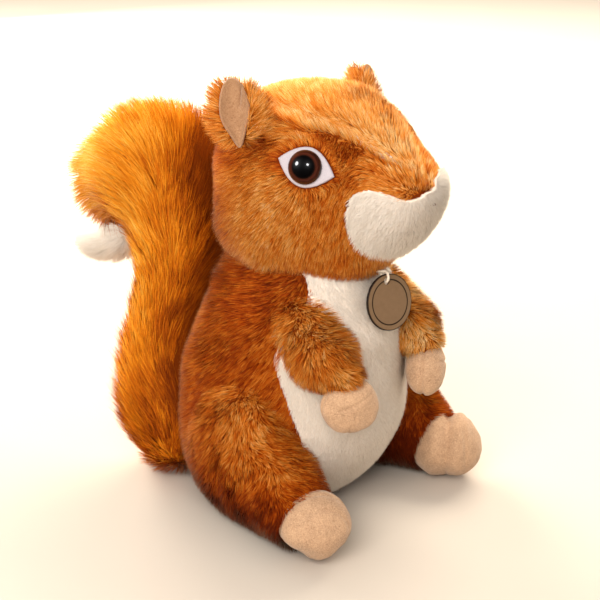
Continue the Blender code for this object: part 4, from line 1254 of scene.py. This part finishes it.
# ------------------------------------------------------------------ limbs
LEG_INSET = 0.0021
WHORL_LEG = np.array((-0.0745, -0.006, 0.056))
WHORL_ARM = np.array((-0.0500, -0.045, 0.118))
for sign, side in ((-1, "right"), (1, "left")):
    flip = MIRROR if sign > 0 else np.ones(3)
    # leg
    leg = legs[side]
    centre = FOOT_CENTRE * flip
    foot_skin = Skin(ball_rings(centre, FOOT_RADII, -FOOT_TURN * (1 if sign < 0 else -1), 60, 96))
    centre = posed(centre[None, :], side)[0]
    foot_skin.P = posed(foot_skin.P, side)
    if side == "left":
        # this foot lies a little flatter and longer along its sole's normal
        along = unit((-math.sin(math.radians(FOOT_TURN)), math.cos(math.radians(FOOT_TURN)), 0.0))
        foot_skin.P = foot_skin.P + along * (0.16 * dot(foot_skin.P - centre, along))[:, None]
        foot_skin.P[:, 2] *= 0.94
    foot_tree = foot_skin.tree()
    P, N = leg.grown(-LEG_INSET).sample(3.8 * DENSE, seed=7 + sign)
    ok = P[:, 2] > 0.0025
    P, N = P[ok], N[ok]
    ok = outside(P, body_tree, by=-0.0035) & outside(P, foot_tree, by=-0.0005)
    P, N = P[ok], N[ok]
    away = P - WHORL_LEG * flip
    near = 0.25 * np.exp(-((np.linalg.norm(away, axis=1) / 0.042) ** 2))[:, None]
    down = np.array([0.0, -0.35, -1.0])
    D = tangent(away / 0.030 * near + down * (1 - near), N)
    D = rotate(D, N, 1.0 * noise(P, 0.016, 27) + 0.7 * noise(P, 0.007, 28))
    # painted shade: leg fur lighter higher up and much darker toward the floor, and the left leg darker still, for the
    # shade it lies in
    shade = 0.40 + 0.12 * noise(P, 0.014, 29) + 0.08 * noise(P, 0.005, 30) + 0.14 * smooth(0.03, 0.07, P[:, 2])
    shade = shade - 0.46 * smooth(0.048, 0.016, P[:, 2]) - (0.08 if side == "left" else 0.0)
    fur = grow_fur(
        f"{side}_leg_pile", P, N, D, 48 + 8 * noise(P, 0.012, 31), 0.0050, 0.00039, shade, orange_pile,
        tufts=((5, 0.38), (36, 0.14)), seed=20 + sign, own_shade=0.38,
    )
    made(fur, "orange_plush", "toy", f"{side}_leg_skin")
    made(
        skin_object(f"{side}_leg_backing", leg.grown(-LEG_INSET - 0.0001), orange_back, floor=0.0003),
        "orange_plush", "toy", f"{side}_leg_skin", stuffed=0.85,
    )
    # foot
    spin = np.array(Matrix.Rotation(math.radians(-FOOT_TURN * (1 if sign < 0 else -1)), 3, "Z"))
    local = (foot_skin.P - centre) @ spin
    lx, ly, lz = local[:, 0] / FOOT_RADII[0], local[:, 1] / FOOT_RADII[1], local[:, 2] / FOOT_RADII[2]
    rim = np.hypot(lx, lz)
    ang = np.arctan2(lz, lx * sign)
    shape = 0.0003 * noise(foot_skin.P, 0.010, 41) + 0.00012 * noise(foot_skin.P, 0.003, 42)
    sole = smooth(-0.1, -0.3, ly)
    if side == "left":
        # the side seam pulls in deep between sole and upper
        shape = shape - 0.0013 * np.exp(-(((local[:, 1] + 0.0016) / 0.0014) ** 2)) * smooth(-0.35, 0.30, lz)
        shape = shape + 0.0024 * np.exp(-((np.abs(local[:, 1] + 0.0016) - 0.0052) / 0.0040) ** 2) * smooth(-0.45, 0.30, lz)
        shape = shape - 0.0009 * np.exp(-(((local[:, 1] + 0.0016) / 0.0009) ** 2)) * smooth(0.25, -0.35, lz)
        shape = shape + 0.0016 * np.exp(-(((ly - 0.42) / 0.30) ** 2)) + 0.0012 * np.exp(-(((ly + 0.55) / 0.30) ** 2))
        shape = shape - 0.0008 * np.exp(-(((lz - 0.86 + 0.10 * np.abs(lx)) / 0.035) ** 2))
    else:
        shape = shape - 0.0012 * np.exp(-(((local[:, 1] + 0.0012) / 0.0009) ** 2))
    # broad at the top, narrower at the heel
    shape = shape - 0.0034 * smooth(-0.10, -0.80, lz) * smooth(0.0, 0.75, np.abs(lx)) * (1.0 if side == "right" else 0.5)
    shape = shape - 0.0008 * smooth(-0.60, -1.0, lz)
    shape = shape - 0.0008 * smooth(0.0, 1.0, np.abs(lx + 0.35 * sign)) * smooth(-0.2, 0.6, -lz)
    shape = shape - 0.0008 * sole * np.exp(-(((rim - 0.80) / 0.035) ** 2)) * smooth(-0.6, 0.5, np.cos(ang - 2.2))
    shape = shape + 0.00035 * sole * noise(foot_skin.P, 0.0055, 45)
    for a0, r0, r1 in ((-2.10, 0.70, 1.0), (-1.70, 0.78, 1.0), (-1.35, 0.80, 1.0)):
        da = np.abs((ang - a0 + math.pi) % (2 * math.pi) - math.pi) * rim * FOOT_RADII[0]
        shape = shape - 0.0010 * sole * np.exp(-((da / 0.0006) ** 2)) * smooth(r0 - 0.08, r0 + 0.04, rim)
    reshaped(foot_skin, shape)
    foot = skin_object(f"{side}_foot_cloth", foot_skin, beige, floor=0.0002)
    made(foot, "beige_suede", "toy", f"{side}_foot", stuffed=0.8)
    # arm
    arm = arms[side]
    centre = HAND_CENTRE * flip
    hand_turn = -HAND_TURN * (1 if sign < 0 else -1)
    hand_skin = Skin(ball_rings(centre, HAND_RADII, hand_turn, 48, 72))
    hand_tree = hand_skin.tree()
    P, N = arm.grown(-INSET).sample(3.8 * DENSE, seed=17 + sign)
    ok = outside(P, body_tree, by=-0.0035) & outside(P, hand_tree, by=0.0008)
    P, N = P[ok], N[ok]
    away = P - WHORL_ARM * flip
    near = 0.35 * np.exp(-((np.linalg.norm(away, axis=1) / 0.024) ** 2))[:, None]
    down = np.array([0.0, -0.55, -0.85])
    D = tangent(away / 0.020 * near + down * (1 - near), N)
    D = rotate(D, N, 1.0 * noise(P, 0.013, 37) + 0.6 * noise(P, 0.006, 38))
    # painted light: the left arm takes a lighter shade, for the light falling on it
    shade = 0.59 + 0.10 * noise(P, 0.012, 39) + 0.08 * noise(P, 0.005, 40) + (0.18 if side == "left" else 0.0)
    wrist = smooth(0.016, 0.002, np.array([hand_tree.find_nearest(Vector(p))[3] for p in P]))
    fur = grow_fur(
        f"{side}_arm_pile", P, N, D, 50 + 8 * noise(P, 0.012, 31), 0.0060 - 0.0022 * wrist, 0.00039, shade, orange_pile,
        tufts=((5, 0.38), (36, 0.14)), seed=30 + sign, own_shade=0.38,
    )
    made(fur, "orange_plush", "toy", f"{side}_arm_skin")
    made(
        skin_object(f"{side}_arm_backing", arm.grown(-INSET - 0.0001), orange_back),
        "orange_plush", "toy", f"{side}_arm_skin", stuffed=0.85,
    )
    # hand
    spin = np.array(Matrix.Rotation(math.radians(hand_turn), 3, "Z"))
    local = (hand_skin.P - centre) @ spin
    shape = 0.0006 * noise(hand_skin.P, 0.009, 43) + 0.0003 * noise(hand_skin.P, 0.0035, 44)
    shape = shape - 0.0014 * np.exp(-((local[:, 1] / 0.0009) ** 2))
    hx, hz = local[:, 0] / HAND_RADII[0], local[:, 2] / HAND_RADII[2]
    palm = smooth(0.0, -0.003, local[:, 1])
    # a fold across the palm and short creases by the thumb and the heel of the hand
    shape = shape - 0.0010 * palm * np.exp(-(((hz - 0.30 + 0.35 * hx * sign) / 0.05) ** 2)) * smooth(0.9, 0.2, np.abs(hx))
    shape = shape - 0.0012 * palm * np.exp(-(((hx - 0.15 * sign) / 0.05) ** 2)) * smooth(-0.35, -0.75, hz)
    shape = shape + 0.0010 * smooth(0.3, 0.8, -hx * sign) * smooth(0.5, -0.3, hz)
    line = local[:, 0] - 0.0006 * np.sin(local[:, 2] * 400)
    shape = shape - 0.0005 * np.exp(-((line / 0.0007) ** 2)) * smooth(0.0, -0.004, local[:, 1]) * smooth(0.004, -0.004, local[:, 2])
    reshaped(hand_skin, shape)
    hand = skin_object(f"{side}_hand_cloth", hand_skin, beige)
    made(hand, "beige_suede", "toy", f"{side}_hand", stuffed=0.7)

# ------------------------------------------------------------------ tail
TAIL_INSET = 0.0100
tail_skin = joined_skin(
    [
        tube_rings(TAIL_SPINE, 60, 64),
        ball_rings(TAIL_CURL, TAIL_CURL_RADII, 0.0, 32, 64),
    ],
    0.0030, 14,
)
reshaped(tail_skin, 0.0012 * noise(tail_skin.P, 0.024, 51))
tail_backing = tail_skin.grown(-TAIL_INSET)
P, N = tail_backing.sample(1.9 * DENSE, seed=8)
spine = spine_curve(TAIL_SPINE + ((0.0, 0.1370, 0.1620, 0.03), (0.0, 0.1520, 0.1480, 0.02), (0.0, 0.1500, 0.1300, 0.02)), 80)
ok = P[:, 2] > 0.004
P, N = P[ok], N[ok]
ok = outside(P, body_tree, by=0.0)
P, N = P[ok], N[ok]
tan = unit(np.gradient(spine[:, :3], axis=0))
near = ((P[:, None, :] - spine[None, :, :3]) ** 2).sum(-1).argmin(1)
flow = tan[near]
D = tangent(flow + 0.15 * N, N)
D = rotate(D, N, 0.35 * noise(P, 0.030, 52) + 0.25 * noise(P, 0.011, 53))
up = smooth(0.12, 0.17, P[:, 2])
foot_of = smooth(0.030, 0.008, P[:, 2])
length = (0.0190 + 0.0035 * up + 0.002 * noise(P, 0.02, 54)) * (1 - 0.40 * foot_of)
lift = 30 + 8 * up + 8 * noise(P, 0.018, 55) - 10 * foot_of
shade = 0.50 + 0.10 * noise(P, 0.022, 56) + 0.06 * noise(P, 0.008, 57) - 0.14 * smooth(0.11, 0.05, P[:, 2])
# painted shadow: fibres on the tail's side toward the camera's right lie in the head's shadow and take a darker shade,
# as do those near the body
shadowed_side = smooth(-0.25, 0.75, dot(P - spine[near, :3], cam_right) / 0.026)
shade = shade - 0.04 - 0.62 * shadowed_side * smooth(0.195, 0.165, P[:, 2]) - 0.10 * smooth(0.094, 0.060, P[:, 1]) * smooth(0.180, 0.155, P[:, 2])
# painted light: fur facing back-left takes a paler shade as a painted rim light, and the tail's foot (foot_of) is
# lifted lighter against the shade under it
shade = shade + 0.20 * smooth(0.25, 0.95, dot(N, -cam_right * 0.95 + cam_up * 0.3)) + 0.14 * foot_of
shade = shade + 0.26 * smooth(0.138, 0.128, P[:, 2]) * smooth(0.118, 0.135, P[:, 1])
fur = grow_fur(
    "tail_pile", P, N, D, lift, length, 0.00044, shade, gold_pile,
    tufts=((10, 0.40), (90, 0.20)), levels=2, bow=0.07, seed=40, tuft_shade=0.20, own_shade=0.34,
)
made(fur, "golden_plush", "toy", "tail_skin")
made(
    skin_object("tail_backing", tail_backing.grown(-0.0001), gold_back, floor=0.0004),
    "golden_plush", "toy", "tail_skin", stuffed=0.7,
)
# the tail's end, cream and turned down out of the curl
TIP_SPINE = (
    (-0.0030, 0.1320, 0.1400, 0.0100),
    (-0.0040, 0.1370, 0.1250, 0.0110),
    (-0.0050, 0.1470, 0.1150, 0.0095),
    (-0.0060, 0.1590, 0.1110, 0.0075),
    (-0.0060, 0.1670, 0.1105, 0.0055),
)
tip_skin = Skin(tube_rings(TIP_SPINE, 28, 40))
reshaped(tip_skin, 0.0006 * noise(tip_skin.P, 0.010, 61))
P, N = tip_skin.sample(4.2 * DENSE, seed=18)
ok = P[:, 2] < 0.1300
P, N = P[ok], N[ok]
D = tangent(np.array((-0.15, 1.0, -0.12)) + 0 * N, N)
D = rotate(D, N, 0.5 * noise(P, 0.008, 62))
fur = grow_fur(
    "tail_tip_pile", P, N, D, 40 + 10 * noise(P, 0.010, 63), 0.0072 + 0.0012 * noise(P, 0.006, 64), 0.00040,
    0.62 + 0.06 * noise(P, 0.010, 65), cream_pile, tufts=((8, 0.40), (40, 0.14)), levels=1, seed=44, tuft_shade=0.08,
)
made(fur, "white_plush", "toy", "tail_skin")
made(skin_object("tail_tip_backing", tip_skin.grown(-0.0001), cream_back), "white_plush", "toy", "tail_skin", stuffed=0.7)

# ------------------------------------------------------------------ ears
for sign, side in ((-1, "right"), (1, "left")):
    flip = MIRROR if sign > 0 else np.ones(3)
    shift = LEFT_EAR_SHIFT if sign > 0 else 0.0
    base, tip = EAR_BASE + shift, EAR_TIP + shift
    up_v = unit(tip - base)
    facing = EAR_FACING if sign < 0 else LEFT_EAR_FACING
    face = unit(np.array(facing) - up_v * dot(facing, up_v))
    across = np.cross(up_v, face)
    long = np.linalg.norm(tip - base)
    n_up, n_round = 40, 56
    t = 0.5 - 0.5 * np.cos(np.linspace(0, math.pi, n_up + 1))
    t[0], t[-1] = 0.0005, 0.9995
    w = EAR_HALF_WIDTH * np.sin(math.pi * np.minimum(t * 0.80 + 0.17, 1.0)) ** 0.8
    w = w * np.sqrt(np.clip((1 - t) / 0.10, 0, 1)) * np.sqrt(np.clip(t / 0.04, 0, 1))
    th = EAR_HALF_THICK * (0.35 + 0.65 * np.sin(math.pi * t)) * np.sqrt(np.clip((1 - t) / 0.06, 0, 1)) * np.sqrt(np.clip(t / 0.04, 0, 1))
    a = 2 * math.pi * np.arange(n_round) / n_round
    rings = (
        base
        + up_v * (long * t)[:, None, None]
        + across * (w[:, None] * np.cos(a))[..., None]
        + face * (th[:, None] * np.sin(a))[..., None]
    )
    ear = Skin(rings)
    inner_by = 0.0022
    EAR_LEAN = 0.0034
    ear_in = ear.grown(-inner_by)

    def ear_place(Q):
        d = Q - (base + up_v * long * 0.50)
        tall = dot(d, up_v) / 0.0170
        wide_here = 0.0076 * (0.50 + 0.50 * smooth(-1.0, 0.15, tall))
        return tall, (dot(d, across) - EAR_LEAN * (tall - 0.25)) / wide_here, dot(d, face)

    tall, wide, deep = ear_place(ear_in.P)
    r2 = tall**2 + wide**2
    dish = smooth(1.35, 0.5, r2) * (deep > 0)
    ear_in.P = ear_in.P - face * (0.0022 * dish)[:, None]
    ear_in.N = normals_of(ear_in.P, ear_in.T)
    if dot(ear_in.P - ear_in.P.mean(0), ear_in.N).sum() < 0:
        ear_in.N = -ear_in.N
    P, N = ear_in.sample(4.4 * DENSE, seed=60)
    tall, wide, deep = ear_place(P)
    ok = ~((tall**2 + wide**2 < 1.0) & (deep > -0.001))
    P, N, tall, wide, deep = P[ok], N[ok], tall[ok], wide[ok], deep[ok]
    out = unit(across * wide[:, None] + up_v * (tall * 1.3)[:, None])
    D = tangent(up_v * 0.7 + out * 0.9, N)
    D = rotate(D, N, 0.4 * noise(P, 0.012, 61))
    rim_w = smooth(0.7, 1.0, tall**2 + wide**2)
    # painted rim light: fur near the ear's outer rim, on its front and upper part, takes a lighter shade
    shade = 0.62 + 0.10 * noise(P, 0.012, 62) + 0.14 * rim_w * (deep > -0.003) * smooth(-0.5, 0.6, tall)
    spot_R, spot_N, spot_D = P * flip, N * flip, D * flip
    keep = outside(spot_R, head_tree, by=-0.004)
    fur = grow_fur(
        f"{side}_ear_pile", spot_R[keep], spot_N[keep], spot_D[keep], 42 + 0 * shade[keep], (0.0056 + 0.0022 * rim_w)[keep], 0.00042, shade[keep],
        orange_pile, tufts=((6, 0.38),), seed=70 + sign, own_shade=0.40,
    )
    made(fur, "orange_plush", "toy", f"{side}_ear")
    back = object.__new__(Skin)
    back.__dict__.update(ear_in.__dict__)
    back.P, back.N = ear_in.P * flip, ear_in.N * flip
    made(skin_object(f"{side}_ear_backing", back, orange_back), "orange_plush", "toy", f"{side}_ear")
    # the lining, a dished teardrop with a tuck at its upper edge
    nt, nr = 26, 64
    cells, faces = [], []
    for i in range(nt + 1):
        q = i / nt
        for j in range(nr):
            b = 2 * math.pi * j / nr
            tl = q * math.sin(b)
            wd = q * math.cos(b) * (0.50 + 0.50 * float(smooth(-1.0, 0.15, tl)))
            u_, v_ = wd * 0.0081, tl * 0.0176
            depth = -0.0008 - 0.0034 * (1 - q * q) + 0.0006 * q**8
            # the tuck
            ax, ay, bx, by_ = 0.0056, 0.0120, 0.0032, 0.0030
            tt = min(max(((u_ - ax) * (bx - ax) + (v_ - ay) * (by_ - ay)) / ((bx - ax) ** 2 + (by_ - ay) ** 2), 0), 1)
            near_d = math.hypot(u_ - ax - (bx - ax) * tt, v_ - ay - (by_ - ay) * tt)
            depth -= 0.0016 * math.exp(-((near_d / 0.0009) ** 2))
            depth += 0.0009 * math.exp(-(((near_d - 0.0020) / 0.0011) ** 2)) * (u_ > ax - 0.002)
            p = base + up_v * (long * 0.50 + v_) + across * (u_ + EAR_LEAN * (tl - 0.25)) + face * (EAR_HALF_THICK * 0.80 + depth)
            p = p + face * 0.0003 * float(noise(np.array([p]), 0.004, 63)[0])
            cells.append(p * flip)
    for i in range(nt):
        for j in range(nr):
            a_, b_ = i * nr + j, i * nr + (j + 1) % nr
            faces.append((a_, b_, b_ + nr, a_ + nr) if sign < 0 else (a_, a_ + nr, b_ + nr, b_))
    lining = put(f"{side}_ear_lining_cloth", np.array(cells), faces)
    work = bmesh.new()
    work.from_mesh(lining.data)
    bmesh.ops.remove_doubles(work, verts=work.verts, dist=1e-6)
    work.to_mesh(lining.data)
    work.free()
    mod = lining.modifiers.new("thick", "SOLIDIFY")
    mod.thickness = 0.0012
    mod.offset = -1
    lining.data.materials.append(ear_suede)
    made(lining, "ear_suede", "toy", f"{side}_ear_lining")

# ------------------------------------------------------------------ eyes
SINK, FELT = 0.0040, 0.0012
for sign, side in ((-1, "right"), (1, "left")):
    spot, normal, level, rise, tilt = eye_frame(sign)
    back = FELT + 0.0003 - SINK
    # profile from the dome's top to the shank's end: distance along the normal, radius
    dome = [(back + 0.0056 * math.cos(a) ** 1.0, EYE_R * math.sin(a)) for a in np.linspace(0.02, math.pi / 2, 22)]
    dome = [(max(d, back + 0.0007), r) for d, r in dome]
    profile = dome + [(back + 0.0003, EYE_R * 0.985), (back, EYE_R * 0.93), (back, 0.0017), (-0.0115, 0.0016), (-0.0125, 0.0013), (-0.0125, 0.0001)]
    n = 64
    cells = []
    for d, r in profile:
        for j in range(n):
            b = 2 * math.pi * j / n
            cells.append(spot + normal * d + (level * math.cos(b) + rise * math.sin(b)) * r)
    faces = []
    for i in range(len(profile) - 1):
        for j in range(n):
            a_, b_ = i * n + j, i * n + (j + 1) % n
            faces.append((a_, b_, b_ + n, a_ + n))
    faces += [tuple(range(n))[::-1], tuple((len(profile) - 1) * n + j for j in range(n))]
    eye = put(f"{side}_eye_dome", np.array(cells), faces)
    work = bmesh.new()
    work.from_mesh(eye.data)
    bmesh.ops.recalc_face_normals(work, faces=work.faces)
    work.to_mesh(eye.data)
    work.free()
    eye.data.set_sharp_from_angle(angle=math.radians(60))
    eye.data.materials.append(eye_material(f"{side}_eye_gloss", spot, normal))
    made(eye, "brown_eye", "toy", f"{side}_eye")
    # felt
    smooth_head = Skin(head_rings(90, 140))
    tree = smooth_head.grown(FELT - SINK).tree()
    cells, faces = [], []
    rings_n, n = 14, 96
    for i in range(rings_n + 1):
        q = 0.10 + 0.90 * i / rings_n
        for j in range(n):
            b = 2 * math.pi * j / n
            u_ = EYE_PATCH_HALF[0] * math.cos(b) * q
            v_ = math.copysign(EYE_PATCH_HALF[1] * (1 - abs(math.cos(b)) ** 1.9), math.sin(b)) * q
            u2, v2 = u_ * math.cos(tilt) - v_ * math.sin(tilt), u_ * math.sin(tilt) + v_ * math.cos(tilt)
            p = spot + level * u2 + rise * v2
            hit = tree.ray_cast(Vector(p + normal * 0.015), Vector(-normal))
            p = np.array(hit[0])
            cells.append(p - normal * 0.0004 * max(0.0, (q - 0.9) / 0.1) ** 2)
    for i in range(rings_n):
        for j in range(n):
            a_, b_ = i * n + j, i * n + (j + 1) % n
            faces.append((a_, b_, b_ + n, a_ + n))
    patch = put(f"{side}_eye_felt", np.array(cells), faces)
    work = bmesh.new()
    work.from_mesh(patch.data)
    bmesh.ops.recalc_face_normals(work, faces=work.faces)
    work.faces.ensure_lookup_table()
    if sum(f.normal.dot(Vector(normal)) for f in work.faces) < 0:
        bmesh.ops.reverse_faces(work, faces=work.faces)
    work.to_mesh(patch.data)
    work.free()
    mod = patch.modifiers.new("thick", "SOLIDIFY")
    mod.thickness = FELT
    mod.offset = -1
    patch.data.materials.append(felt)
    made(patch, "white_felt", "toy", f"{side}_eye_patch")

# ------------------------------------------------------------------ tag and its loop
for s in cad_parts["tag_disc"].material_slots:
    s.material = board
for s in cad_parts["tag_loop"].material_slots:
    s.material = cord

# ------------------------------------------------------------------ floor and light
floor_mesh = bpy.data.meshes.new("floor")
floor_mesh.from_pydata([(-4, -4, -0.0003), (4, -4, -0.0003), (4, 4, -0.0003), (-4, 4, -0.0003)], [], [(0, 1, 2, 3)])
floor = bpy.data.objects.new("floor", floor_mesh)
scene.collection.objects.link(floor)
ground = Nodes("pale_floor")
ground.link(
    ground.mix(linear(190, 180, 169), linear(197, 188, 177), ground.noise(6.0, 2.0)),
    ground.shader.inputs["Base Color"],
)
ground.set(Roughness=0.7, Specular_IOR_Level=0.3)
floor_mesh.materials.append(ground.mat)
floor.visible_glossy = False

world = bpy.data.worlds.new("studio")
world.use_nodes = True
world.node_tree.nodes["Background"].inputs["Color"].default_value = (1.0, 0.93, 0.85, 1)
world.node_tree.nodes["Background"].inputs["Strength"].default_value = 0.66
scene.world = world
world.cycles_visibility.glossy = False


def lamp(name, at, aim_at, size, watts, colour=(1, 1, 1)):
    data = bpy.data.lights.new(name, "AREA")
    data.shape = "RECTANGLE"
    data.size, data.size_y = size
    data.energy = watts
    data.color = colour
    obj = bpy.data.objects.new(name, data)
    scene.collection.objects.link(obj)
    obj.location = at
    obj.rotation_euler = (Vector(aim_at) - Vector(at)).to_track_quat("-Z", "Y").to_euler()
    return obj


mid = (0.0, 0.0, 0.12)
windows = [
    lamp("back_window", tuple(flat * 1.05 + cam_right * 0.45 + np.array([0, 0, 1.05])), mid, (1.2, 0.9), 38, (1.0, 0.90, 0.76)),
    lamp("left_window", tuple(-cam_right * 0.95 + flat * 1.05 + np.array([0, 0, 0.62])), mid, (0.9, 0.9), 26, (1.0, 0.93, 0.82)),
    lamp("edge_window", tuple(flat * 1.25 - cam_right * 0.55 + np.array([0, 0, 0.40])), mid, (0.5, 0.6), 24, (1.0, 0.93, 0.80)),
    lamp("front_soft", tuple(-flat * 0.98 - cam_right * 0.28 + np.array([0, 0, 0.80])), mid, (0.9, 0.7), 18, (1.0, 0.95, 0.89)),
]
for window in windows:
    window.visible_glossy = False


def glint(name, across, up, radius, watts):
    """A small lamp seen only in the gloss of the right eye, at a place on its dome."""
    spot, normal, _, _, _ = eye_frame(-1)
    back = FELT + 0.0003 - SINK
    height = 0.0056
    at = spot + cam_right * (across * EYE_R) + cam_up * (up * EYE_R)
    ray = unit(at - cam_at)
    # the dome is half an ellipsoid: solve for where the ray meets it
    origin = spot + normal * back
    stretch = lambda v: v + normal * dot(v, normal) * (EYE_R / height - 1)
    o, d = stretch(cam_at - origin), stretch(ray)
    b, c = dot(o, d), dot(o, o) - EYE_R**2
    t = (-b - math.sqrt(max(b * b - dot(d, d) * c, 0))) / dot(d, d)
    hit = cam_at + ray * t
    q = stretch(hit - origin)
    facing = unit(stretch(q))
    bounce = ray - facing * 2 * dot(ray, facing)
    place = hit + bounce * 0.8
    obj = lamp(name, tuple(place), tuple(hit), (radius * 2, radius * 2), watts)
    obj.data.shape = "DISK"
    obj.visible_diffuse = False
    return obj


glint("glint_a", -0.42, 0.21, 0.115, 3.0)
glint("glint_b", 0.21, 0.14, 0.075, 1.4)
